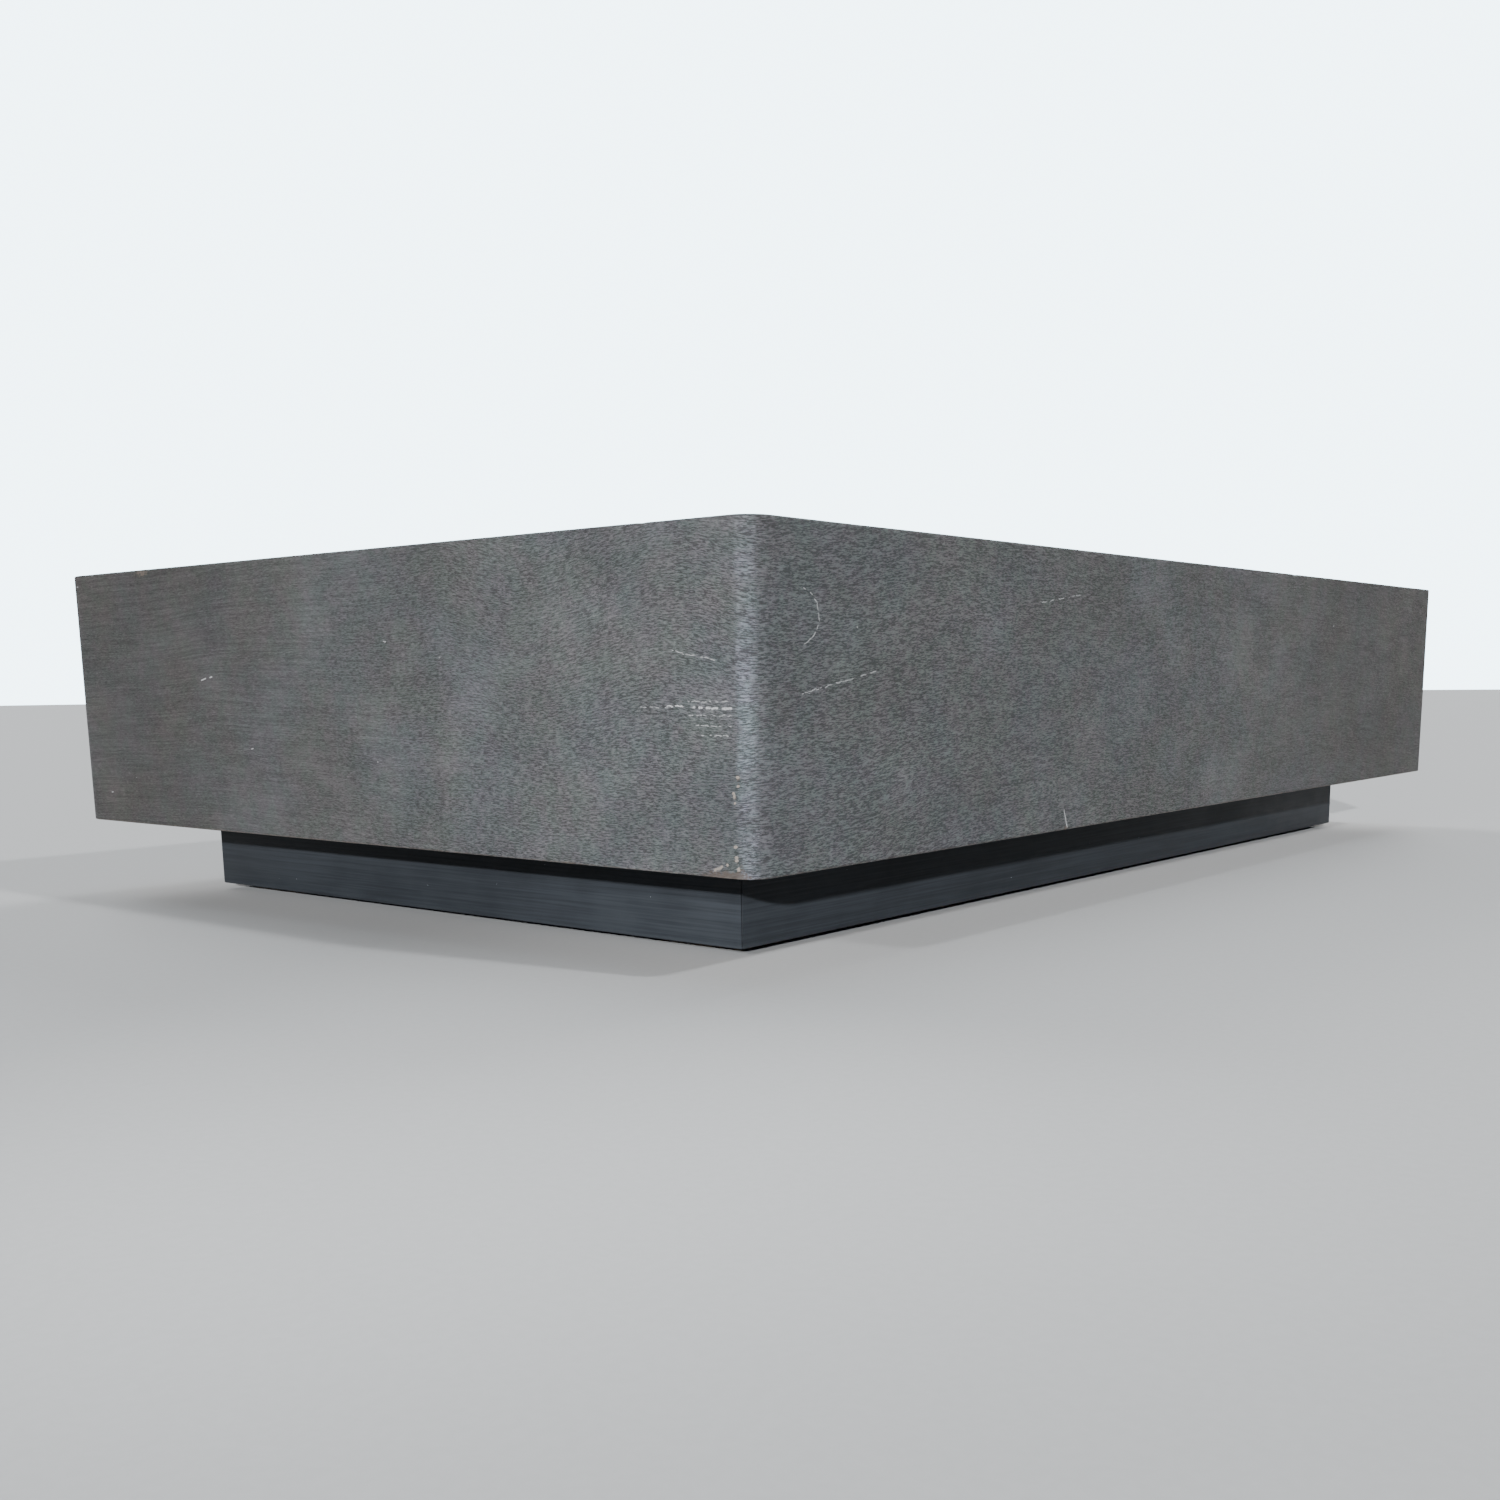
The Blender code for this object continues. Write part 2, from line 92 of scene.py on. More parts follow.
class NodeWriter:
    """Adds nodes to a tree, each in one call that links or sets its inputs."""

    def __init__(self, tree: bpy.types.NodeTree) -> None:
        """Keeps the tree that the nodes go into."""
        self.tree = tree

    def node(self, kind: str, inputs: dict[Any, Any], **settings: Any) -> bpy.types.Node:
        """Adds a node.

        Args:
            kind: The node's type name.
            inputs: Sockets or constants by input name or number.
            settings: The node's own properties.

        Returns:
            The new node.
        """
        node = self.tree.nodes.new(kind)
        for name, value in settings.items():
            setattr(node, name, value)
        for name, value in inputs.items():
            self.feed(node.inputs[name], value)
        return node

    def output(self, kind: str, inputs: dict[Any, Any], **settings: Any) -> Socket:
        """The first output of a new node, which takes the same arguments."""
        return self.node(kind, inputs, **settings).outputs[0]

    def feed(self, socket: Socket, value: Any) -> None:
        """Links a socket to another, or sets it to a constant.

        Args:
            socket: The input.
            value: An output socket or a constant.
        """
        if isinstance(value, bpy.types.NodeSocket):
            self.tree.links.new(value, socket)
        else:
            socket.default_value = value

    def calc(self, operation: str, *values: Any) -> Socket:
        """A Math node's result."""
        return self.output("ShaderNodeMath", dict(enumerate(values)), operation=operation)

    def times(self, first: Any, second: Any) -> Socket:
        """The product of two numbers."""
        return self.calc("MULTIPLY", first, second)

    def vector(self, operation: str, *values: Any) -> Socket:
        """A Vector Math node's vector result."""
        return self.output("ShaderNodeVectorMath", dict(enumerate(values)), operation=operation)

    def scaled(self, first: Any, second: Any) -> Socket:
        """The product of two vectors or colours, part by part."""
        return self.vector("MULTIPLY", first, second)

    def measure(self, operation: str, *values: Any) -> Socket:
        """A Vector Math node's single number, such as a length or a dot product."""
        inputs = dict(enumerate(values))
        return self.node("ShaderNodeVectorMath", inputs, operation=operation).outputs["Value"]

    def axes(self, vector: Socket) -> tuple[Socket, Socket, Socket]:
        """A vector's three components."""
        node = self.node("ShaderNodeSeparateXYZ", {0: vector})
        return node.outputs[0], node.outputs[1], node.outputs[2]

    def joined(self, x: Any, y: Any, z: Any) -> Socket:
        """A vector of three components."""
        return self.output("ShaderNodeCombineXYZ", {0: x, 1: y, 2: z})

    def noise(
        self,
        place: Socket,
        scale: float,
        detail: float = 2.0,
        roughness: float = 0.5,
        seed: Any = 0.0,
        colour: bool = False,
    ) -> Socket:
        """A noise field of values about 0.5.

        Args:
            place: Where it is read.
            scale: Its features in a unit of length.
            detail: Its octaves.
            roughness: How strong the finer octaves are.
            seed: Which field it is.
            colour: Whether three independent values come back.

        Returns:
            The value's or the colour's socket.
        """
        inputs = {"Vector": place, "W": seed, "Scale": scale, "Detail": detail, "Roughness": roughness}
        node = self.node("ShaderNodeTexNoise", inputs, noise_dimensions="4D")
        return node.outputs[1 if colour else 0]

    def remap(
        self, value: Socket, low: Any, high: Any, to_low: Any = 0.0, to_high: Any = 1.0
    ) -> Socket:
        """A value eased from one range into another, and held at its ends."""
        inputs = {0: value, 1: low, 2: high, 3: to_low, 4: to_high}
        return self.output("ShaderNodeMapRange", inputs, interpolation_type="SMOOTHSTEP")

    def weighed(self, first: Socket, share: float, second: Socket) -> Socket:
        """Two fields summed, the first counting for a share and the second for the rest."""
        return self.calc("MULTIPLY_ADD", first, share, self.times(second, 1.0 - share))

    def blend(self, share: Any, first: Any, second: Any) -> Socket:
        """Two vectors mixed by a share of the second."""
        inputs = {0: share, 4: first, 5: second}
        return self.node("ShaderNodeMix", inputs, data_type="VECTOR").outputs[1]


class Material(NodeWriter):
    """A Principled material under construction, read in Object coordinates."""

    def __init__(self, name: str, roughness: float, **constants: float) -> None:
        """Starts a material.

        Args:
            name: The material's name.
            roughness: Its mean roughness.
            constants: Other shader inputs, with underscores for spaces.
        """
        self.made = bpy.data.materials.new(name)
        self.made.use_nodes = True
        super().__init__(self.made.node_tree)
        self.shader = self.tree.nodes["Principled BSDF"]
        self.shader.inputs["Roughness"].default_value = roughness
        for key, value in constants.items():
            self.shader.inputs[key.replace("_", " ")].default_value = value
        coordinates = self.tree.nodes.new("ShaderNodeTexCoord")
        self.place = coordinates.outputs["Object"]
        self.normal = coordinates.outputs["Normal"]

    def attribute(self, name: str) -> Socket:
        """A value that the piece's mesh carries."""
        return self.node("ShaderNodeAttribute", {}, attribute_name=name).outputs["Fac"]

    def bump(self, height: Socket, depth: float, strength: float = 1.0) -> None:
        """Adds relief to the shading.

        Args:
            height: A field from 0 to 1.
            depth: Its depth, in metres.
            strength: How far it counts.
        """
        inputs = {"Height": height, "Distance": depth, "Strength": strength}
        self.feed(self.shader.inputs["Normal"], self.output("ShaderNodeBump", inputs))

    def finish(self, colour: Any, roughness: Any = None) -> bpy.types.Material:
        """Gives the shader its colour and, if it varies, its roughness.

        Args:
            colour: The colour's socket.
            roughness: The roughness's socket, or nothing where it is even.

        Returns:
            The finished material.
        """
        self.feed(self.shader.inputs["Base Color"], colour)
        if roughness is not None:
            self.feed(self.shader.inputs["Roughness"], roughness)
        return self.made


class GeometryTree(NodeWriter):
    """A Geometry Nodes tree with named inputs, run once to leave a plain mesh."""

    def __init__(self, name: str) -> None:
        """Starts a tree that takes a geometry in and hands one out.

        Args:
            name: The tree's name.
        """
        super().__init__(bpy.data.node_groups.new(name, "GeometryNodeTree"))
        self.tree.is_modifier = True
        for side in ("INPUT", "OUTPUT"):
            self.tree.interface.new_socket(
                "Geometry", in_out=side, socket_type="NodeSocketGeometry"
            )
        self.entry = self.tree.nodes.new("NodeGroupInput")
        self.exit = self.tree.nodes.new("NodeGroupOutput")
        self.values: dict[str, Any] = {}

    @property
    def geometry(self) -> Socket:
        """The geometry that comes in."""
        return self.entry.outputs["Geometry"]

    def value(self, name: str, setting: Any, kind: str = "Float") -> Socket:
        """Adds a named input.

        Args:
            name: The input's name.
            setting: What the tree is run with.
            kind: The socket's kind.

        Returns:
            The input's socket.
        """
        item = self.tree.interface.new_socket(
            name, in_out="INPUT", socket_type="NodeSocket" + kind
        )
        self.values[item.identifier] = setting
        return self.entry.outputs[name]

    def attribute(self, name: str) -> Socket:
        """A value that the mesh carries."""
        return self.output("GeometryNodeInputNamedAttribute", {"Name": name})

    def field(self, kind: str) -> Socket:
        """What the geometry itself gives at each point, such as its Position."""
        return self.output("GeometryNodeInput" + kind, {})

    def shape_of(self, name: str, piece: Object) -> Socket:
        """The geometry of another piece, which is a named input."""
        inputs = {"Object": self.value(name, piece, "Object")}
        return self.node("GeometryNodeObjectInfo", inputs).outputs["Geometry"]

    def copies(
        self,
        points: Socket,
        shape: Socket,
        turn: Socket,
        scale: Any = (1.0, 1.0, 1.0),
        chosen: Any = True,
    ) -> Socket:
        """Sets a copy of a shape at every chosen point.

        Args:
            points: The points.
            shape: What is copied.
            turn: Each copy's rotation.
            scale: Each copy's size along its own axes.
            chosen: Which points take a copy.

        Returns:
            The copies, as instances.
        """
        inputs = {
            "Points": points,
            "Selection": chosen,
            "Instance": shape,
            "Rotation": turn,
            "Scale": scale,
        }
        return self.output("GeometryNodeInstanceOnPoints", inputs)

    def finish(self, geometry: Socket, material: bpy.types.Material) -> None:
        """Ends the tree: instances are made real and take the material.

        Args:
            geometry: What the tree has made.
            material: Its finish.
        """
        real = self.output("GeometryNodeRealizeInstances", {0: geometry})
        inputs = {"Geometry": real, "Material": material}
        self.feed(self.exit.inputs[0], self.output("GeometryNodeSetMaterial", inputs))

    def plain_mesh(self, piece: Object) -> bpy.types.Mesh:
        """Runs the tree on a piece, which keeps its own data.

        Args:
            piece: A mesh or curve object at the origin, linked to the scene.

        Returns:
            The plain mesh that comes out.
        """
        modifier = piece.modifiers.new(self.tree.name, "NODES")
        modifier.node_group = self.tree
        for identifier, setting in self.values.items():
            modifier[identifier] = setting
        graph = bpy.context.evaluated_depsgraph_get()
        made = bpy.data.meshes.new_from_object(
            piece.evaluated_get(graph), preserve_all_data_layers=True, depsgraph=graph
        )
        piece.modifiers.clear()
        return made

    def run(self, piece: Object) -> Object:
        """Puts the tree's result in the place of a piece's mesh."""
        piece.data = self.plain_mesh(piece)
        return piece


# ------------------------------------------------------------------- meshes


def new_piece(name: str, mesh: bpy.types.ID) -> Object:
    """Links a new object at the origin.

    Args:
        name: The object's name.
        mesh: Its mesh, curve, lamp or camera data.

    Returns:
        The object.
    """
    piece = bpy.data.objects.new(name, mesh)
    bpy.context.scene.collection.objects.link(piece)
    return piece


def mesh_of(shape: bmesh.types.BMesh, name: str) -> bpy.types.Mesh:
    """Turns a bmesh into a mesh and frees it.

    Args:
        shape: The bmesh.
        name: The mesh's name.

    Returns:
        The mesh.
    """
    mesh = bpy.data.meshes.new(name)
    shape.to_mesh(mesh)
    shape.free()
    return mesh


def settle(piece: Object, slot: Slot, nodes: list[str], crease: float = 30.0) -> Object:
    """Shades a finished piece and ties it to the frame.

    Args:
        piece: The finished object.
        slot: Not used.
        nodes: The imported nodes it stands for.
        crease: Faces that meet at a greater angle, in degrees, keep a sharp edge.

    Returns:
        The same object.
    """
    piece.data.shade_smooth()
    piece.data.set_sharp_from_angle(angle=math.radians(crease))
    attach(piece, BODY)
    if nodes:
        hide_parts(*nodes)
    LOG.info("%s: %d faces", piece.name, len(piece.data.polygons))
    return piece


def applied(piece: Object) -> Object:
    """Replaces a piece's mesh and modifiers by the plain mesh that they make.

    Args:
        piece: A mesh object with modifiers.

    Returns:
        The same object.
    """
    graph = bpy.context.evaluated_depsgraph_get()
    made = bpy.data.meshes.new_from_object(piece.evaluated_get(graph), depsgraph=graph)
    piece.modifiers.clear()
    piece.data = made
    return piece


def welded_copy(node: str, name: str) -> Object:
    """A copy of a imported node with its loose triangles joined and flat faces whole.

    Args:
        node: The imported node.
        name: The copy's name.

    Returns:
        The copy, linked to the scene.
    """
    shape = bmesh.new()
    shape.from_mesh(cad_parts[node].data)
    bmesh.ops.remove_doubles(shape, verts=shape.verts, dist=0.01 * MM)
    bmesh.ops.dissolve_limit(
        shape, angle_limit=math.radians(1), verts=shape.verts, edges=shape.edges
    )
    return new_piece(name, mesh_of(shape, name))


def named(start: str) -> list[str]:
    """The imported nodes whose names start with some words."""
    return sorted(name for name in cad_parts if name.startswith(start))


def centre(node: str) -> Vector:
    """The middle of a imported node's box."""
    low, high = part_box(node)
    return (low + high) / 2


# ----------------------------------------------------------------- finishes


def broken_grain(writer: NodeWriter, place: Socket) -> Socket:
    """The grain that the coat breaks along, the same in its colour and its relief."""
    return writer.noise(place, 520.0, 3.0, 0.65, seed=6.0)


@dataclass(frozen=True)
class StoneCoat:
    """Matt grey mineral coat, combed in fine level ridges, rubbed pale with a painted highlight on its
    round corners, and painted with light that falls off from its front left corner.
    """

    half_x: float
    half_y: float
    foot: float
    corner: float
    pit: Colour = (0.043, 0.0444, 0.0448)
    ridge: Colour = (0.114, 0.1185, 0.1198)
    # Rubbed pale: wear on the round corners, together with a painted highlight on their rounding.
    rubbed: Colour = (1.62, 1.70, 1.84)
    bare: Colour = (0.155, 0.120, 0.098)
    mossy: Colour = (0.955, 1.02, 0.985)
    plum: Colour = (1.055, 0.975, 1.025)
    slate: Colour = (0.98, 0.994, 1.024)
    earth: Colour = (1.02, 1.0, 0.972)
    # Painted light: the two tints below make the coat brighter and bluer near the front left corner,
    # and dimmer and a little warmer far from it.
    fresh: Colour = (1.53, 1.585, 1.63)
    dim_far_tint: Colour = (0.665, 0.634, 0.61)
    ridge_length: float = 7.0 * MM
    ridge_width: float = 0.95 * MM
    relief: float = 1.4 * MM
    drift: float = 0.036
    swing: float = 0.022
    fan: Point2 = (0.13, 0.17)
    fan_slope: float = 0.17
    fan_reach: Point2 = (0.04, 0.15)
    # Where on each round corner the pale wear and the painted highlight sit.
    band: Point2 = (4.5 * MM, -2.0 * MM)
    # How fast the painted light falls off along each axis.
    falloff_stretch: Point3 = (0.75, 1.2, 1.3)

    def lay(self, writer: Material) -> Socket:
        """The coordinates that the ridges follow.

        They run level round the sides and lengthwise on the top. A hand-held trowel
        drifts from true, and swings as it comes round each upright corner.

        Args:
            writer: The material they are read in.

        Returns:
            A vector in which a ridge is one unit long and one unit wide.
        """
        x, y, z = writer.axes(writer.place)
        drift = self.drifting(writer, x, y)
        long, short = 1 / self.ridge_length, 1 / self.ridge_width
        sides = writer.joined(
            writer.times(x, long),
            writer.times(y, long),
            writer.times(writer.calc("ADD", z, drift), short),
        )
        top = writer.joined(
            writer.times(x, long),
            writer.times(writer.calc("ADD", y, drift), short),
            writer.times(z, short),
        )
        upward = writer.axes(writer.normal)[2]
        return writer.blend(writer.remap(upward, 0.45, 0.8), sides, top)

    def drifting(self, writer: Material, x: Socket, y: Socket) -> Socket:
        """How far the ridges drift from true: a slow wander, a swing and a fan.

        The swing comes in round each upright corner. The fan opens on the left face,
        near its front end, where the trowel was turned about the hand.

        Args:
            writer: The material they are read in.
            x: The place along the length.
            y: The place across the width.

        Returns:
            The drift, in metres.
        """
        wander = writer.noise(writer.place, 3.6, 1.0, seed=4.0)
        wander = writer.calc("MULTIPLY_ADD", wander, self.drift, -self.drift / 2)
        past = writer.calc("SUBTRACT", writer.calc("ABSOLUTE", y), writer.calc("ABSOLUTE", x))
        past = writer.calc("ADD", past, self.half_x - self.half_y)
        swing = writer.remap(past, -0.05, 0.35, 0.0, -self.swing)
        fan = (-self.half_x, self.fan[0] - self.half_y, self.foot + self.fan[1])
        near = writer.measure("LENGTH", writer.vector("SUBTRACT", writer.place, fan))
        slope = writer.remap(near, *self.fan_reach, self.fan_slope, 0.0)
        lean = writer.times(slope, writer.calc("SUBTRACT", y, fan[1]))
        return writer.calc("ADD", writer.calc("ADD", wander, swing), lean)

    def away(self, writer: Material) -> Socket:
        """The weighted distance from the front left corner's foot, where the painted light is
        brightest.

        Args:
            writer: The material it is read in.

        Returns:
            The distance, in metres.
        """
        corner = (-self.half_x, -self.half_y, self.foot)
        away = writer.vector("SUBTRACT", writer.place, corner)
        return writer.measure("LENGTH", writer.scaled(away, self.falloff_stretch))

    def rub_and_highlight(self, writer: Material) -> Socket:
        """How far the coat is rubbed pale and painted with a highlight: 1 on the round corners, 0 on
        the flats.

        Args:
            writer: The material it is read in.

        Returns:
            The share.
        """
        x, y, z = writer.axes(writer.place)
        past = []
        for place, half, back in zip((x, y), (self.half_x, self.half_y), self.band):
            over = writer.calc("SUBTRACT", writer.calc("ABSOLUTE", place), half - self.corner)
            past.append(writer.calc("SUBTRACT", over, back))
        inside = writer.calc("MINIMUM", *past)
        wander = writer.noise(writer.place, 90.0, 3.0, 0.65, seed=8.0)
        inside = writer.calc("MULTIPLY_ADD", wander, 5.0 * MM, inside)
        edge = writer.remap(inside, 4.5 * MM, 10.5 * MM)
        height = writer.remap(z, self.foot + 0.15, self.foot + 0.205, 1.0, 0.45)
        patches = writer.noise(writer.place, 75.0, 3.0, 0.65, seed=9.0)
        patches = writer.remap(patches, 0.35, 0.62, 0.3, 1.0)
        return writer.times(writer.times(edge, height), patches)

    def toned(self, writer: Material, colour: Socket, away: Socket) -> Socket:
        """Breaks an even colour into the coat's soft mottles and slow changes, and paints light on it:
        brighter and bluer at the front left corner, dimmer and warmer away from it.

        Args:
            writer: The material it is in.
            colour: The even colour.
            away: The distance from the front left corner, where the painted light is brightest.

        Returns:
            The varied colour.
        """
        tint = writer.remap(writer.noise(writer.place, 62.0, 3.0, 0.65, seed=3.0), 0.35, 0.65)
        colour = writer.scaled(colour, writer.blend(tint, self.mossy, self.plum))
        cast = writer.remap(writer.noise(writer.place, 17.0, 3.0, seed=7.0), 0.36, 0.64)
        colour = writer.scaled(colour, writer.blend(cast, self.slate, self.earth))
        clouds = writer.scaled(writer.place, (6.0, 6.0, 15.0))
        clouds = writer.remap(writer.noise(clouds, 1.0, 4.0, 0.62, seed=5.0), 0.3, 0.7, 0.95, 1.05)
        colour = writer.scaled(colour, writer.joined(clouds, clouds, clouds))
        smear = writer.scaled(writer.place, (130.0, 130.0, 260.0))
        smear = writer.remap(writer.noise(smear, 1.0, 2.0, seed=11.0), 0.3, 0.7, 0.93, 1.07)
        colour = writer.scaled(colour, writer.joined(smear, smear, smear))
        # Painted light: bright near the front left corner, falling off with distance from it.
        light_falloff = writer.remap(away, 0.04, 0.85)
        return writer.scaled(colour, writer.blend(light_falloff, self.fresh, self.dim_far_tint))

    def ridged(self, writer: Material, away: Socket) -> Socket:
        """The height of the combed ridges, strongest on the front and near its left end, where the
        deeper pit-and-ridge colour also paints relief shade.

        Args:
            writer: The material they are in.
            away: The distance from the front left corner, where the painted light is brightest.

        Returns:
            A field about 0.5.
        """
        lay = self.lay(writer)
        coarse = writer.remap(writer.noise(lay, 1.0, 4.0, 0.7, seed=1.0), 0.28, 0.73)
        fine = writer.remap(writer.noise(lay, 2.0, 3.0, 0.7, seed=2.0), 0.3, 0.7)
        height = writer.calc("SUBTRACT", writer.weighed(coarse, 0.5, fine), 0.5)
        patches = writer.noise(writer.place, 19.0, 2.0, seed=10.0)
        ridge_contrast = writer.remap(patches, 0.34, 0.64, 0.78, 1.38)
        # Stronger near the lit corner and on the front face, in the bump and in the pit-and-ridge
        # colour, which there paints relief shade.
        ridge_contrast = writer.times(ridge_contrast, writer.remap(away, 0.06, 0.62, 1.95, 0.5))
        facing = writer.axes(writer.normal)[1]
        ridge_contrast = writer.times(ridge_contrast, writer.remap(facing, -0.9, -0.3, 1.5, 1.0))
        strokes = writer.scaled(lay, (0.13, 0.13, 0.75))
        strokes = writer.noise(strokes, 1.0, 3.0, 0.6, seed=12.0)
        height = writer.calc("MULTIPLY_ADD", height, ridge_contrast, 0.5)
        return writer.calc("ADD", height, writer.remap(strokes, 0.3, 0.7, -0.09, 0.09))

    def laid_bare(self, writer: Material) -> Socket:
        """How far the warm base shows, in the chips and along the scuffed foot.

        Args:
            writer: The material it is read in.

        Returns:
            The share.
        """
        grain = broken_grain(writer, writer.place)
        chip = writer.calc("MULTIPLY_ADD", grain, 1.2, writer.attribute("chip"))
        chip = writer.remap(chip, 0.95, 1.2, 0.0, 0.7)
        height = writer.axes(writer.place)[2]
        low = writer.remap(height, self.foot + 0.5 * MM, self.foot + 1.8 * MM, 1.0, 0.0)
        scuffed = writer.times(low, writer.remap(grain, 0.38, 0.6, 0.05, 0.45))
        return writer.calc("MAXIMUM", chip, scuffed)

    def build(self) -> bpy.types.Material:
        """Makes the material.

        Returns:
            The finished material.
        """
        writer = Material("stone_coat", 0.78, Specular_IOR_Level=0.3)
        away = self.away(writer)
        height = self.ridged(writer, away)
        colour = writer.blend(writer.remap(height, 0.2, 0.8), self.pit, self.ridge)
        colour = self.toned(writer, colour, away)
        # The round corners are lightened partly by wear and partly by a painted highlight.
        worn = writer.times(self.rub_and_highlight(writer), writer.remap(height, 0.3, 0.65, 0.3, 0.85))
        colour = writer.scaled(colour, writer.blend(worn, (1.0, 1.0, 1.0), self.rubbed))
        colour = writer.blend(self.laid_bare(writer), colour, self.bare)
        writer.bump(height, self.relief)
        return writer.finish(colour)


@dataclass(frozen=True)
class SatinPaint:
    """Dark blue-grey satin paint, brushed lengthwise on board."""

    brushed: Colour = (0.0150, 0.0174, 0.0212)
    lapped: Colour = (0.0240, 0.0280, 0.0335)

    def build(self) -> bpy.types.Material:
        """Makes the material.

        Returns:
            The finished material.
        """
        writer = Material("plinth_paint", 0.5, Specular_IOR_Level=0.09)
        strokes = writer.scaled(writer.place, (9.0, 9.0, 700.0))
        strokes = writer.noise(strokes, 1.0, 3.0, 0.6, seed=1.0)
        clouds = writer.noise(writer.place, 14.0, 3.0, 0.6, seed=2.0)
        mixed = writer.weighed(strokes, 0.6, clouds)
        colour = writer.blend(writer.remap(mixed, 0.36, 0.64), self.brushed, self.lapped)
        writer.bump(strokes, 0.03 * MM)
        return writer.finish(colour, writer.remap(clouds, 0.3, 0.7, 0.46, 0.54))


@dataclass(frozen=True)
class Fibreboard:
    """Raw fibreboard: even brown with short pressed fibres."""

    dark: Colour = (0.30, 0.195, 0.115)
    light: Colour = (0.45, 0.315, 0.195)

    def build(self) -> bpy.types.Material:
        """Makes the material.

        Returns:
            The finished material.
        """
        writer = Material("fibreboard", 0.85)
        fibres = writer.noise(writer.place, 900.0, 3.0, 0.7, seed=1.0)
        clouds = writer.noise(writer.place, 25.0, 3.0, seed=2.0)
        mixed = writer.weighed(fibres, 0.6, clouds)
        colour = writer.blend(writer.remap(mixed, 0.35, 0.65), self.dark, self.light)
        writer.bump(fibres, 0.05 * MM)
        return writer.finish(colour)


@dataclass(frozen=True)
class SawnWood:
    """Raw wood, with its grain along the axis that has the smallest stretch."""

    name: str
    early: Colour
    late: Colour
    stretch: Point3
    rings: float

    def build(self) -> bpy.types.Material:
        """Makes the material.

        Returns:
            The finished material.
        """
        writer = Material(self.name, 0.7)
        lay = writer.scaled(writer.place, self.stretch)
        bend = writer.noise(lay, 1.0, 2.0, seed=1.0)
        x, y, _ = writer.axes(lay)
        turns = writer.calc("MULTIPLY_ADD", bend, 3.0, writer.calc("ADD", x, y))
        wave = writer.calc("SINE", writer.times(turns, self.rings))
        grain = writer.noise(writer.scaled(lay, (9.0, 9.0, 9.0)), 3.0, 3.0, 0.7, seed=2.0)
        mixed = writer.calc("MULTIPLY_ADD", wave, 0.25, grain)
        colour = writer.blend(writer.remap(mixed, 0.2, 0.8), self.early, self.late)
        writer.bump(grain, 0.08 * MM)
        return writer.finish(colour)


@dataclass(frozen=True)
class Nylon:
    """Moulded black nylon, scuffed where it slides."""

    tone: Colour = (0.022, 0.022, 0.024)
    scuffed: Colour = (0.075, 0.073, 0.070)

    def build(self) -> bpy.types.Material:
        """Makes the material.

        Returns:
            The finished material.
        """
        writer = Material("nylon", 0.5)
        grain = writer.noise(writer.place, 1500.0, 2.0, seed=1.0)
        height = writer.axes(writer.place)[2]
        low = writer.remap(height, 0.0, 0.8 * MM, 1.0, 0.0)
        worn = writer.times(low, writer.remap(grain, 0.4, 0.6))
        writer.bump(grain, 0.03 * MM)
        return writer.finish(writer.blend(worn, self.tone, self.scuffed))


@dataclass(frozen=True)
class ZincSteel:
    """Zinc-plated steel with a dull, clouded shine."""

    dull: Colour = (0.44, 0.44, 0.42)
    bright: Colour = (0.66, 0.66, 0.64)

    def build(self) -> bpy.types.Material:
        """Makes the material.

        Returns:
            The finished material.
        """
        writer = Material("zinc_steel", 0.35, Metallic=1.0)
        clouds = writer.noise(writer.place, 600.0, 3.0, 0.6, seed=1.0)
        writer.bump(clouds, 0.02 * MM)
        colour = writer.blend(writer.remap(clouds, 0.35, 0.65), self.dull, self.bright)
        return writer.finish(colour, writer.remap(clouds, 0.3, 0.7, 0.28, 0.45))


@dataclass(frozen=True)
class Chalk:
    """Pale dust of the mineral coat, left by knocks and rubs."""

    name: str
    tone: Colour
    shade: Colour

    def build(self) -> bpy.types.Material:
        """Makes the material.

        Returns:
            The finished material.
        """
        writer = Material(self.name, 0.9)
        grain = writer.noise(writer.place, 1100.0, 3.0, 0.7, seed=1.0)
        writer.bump(grain, 0.1 * MM)
        return writer.finish(writer.blend(writer.remap(grain, 0.35, 0.6), self.shade, self.tone))


@dataclass(frozen=True)
class StudioPaper:
    """Pale seamless paper for the studio floor."""

    tone: Colour = (0.385, 0.396, 0.406)

    def build(self) -> bpy.types.Material:
        """Makes the material.

        Returns:
            The finished material.
        """
        writer = Material("studio_paper", 0.9, Specular_IOR_Level=0.2)
        fibres = writer.noise(writer.place, 220.0, 2.0, seed=1.0)
        shade = tuple(channel * 0.97 for channel in self.tone)
        return writer.finish(writer.blend(writer.remap(fibres, 0.3, 0.7), shade, self.tone))


# --------------------------------------------------------------- the coat


@dataclass(frozen=True)
class Chip:
    """A worn or knocked place on the coat."""

    at: Point3
    reach: Point3
    depth: float = 1.0


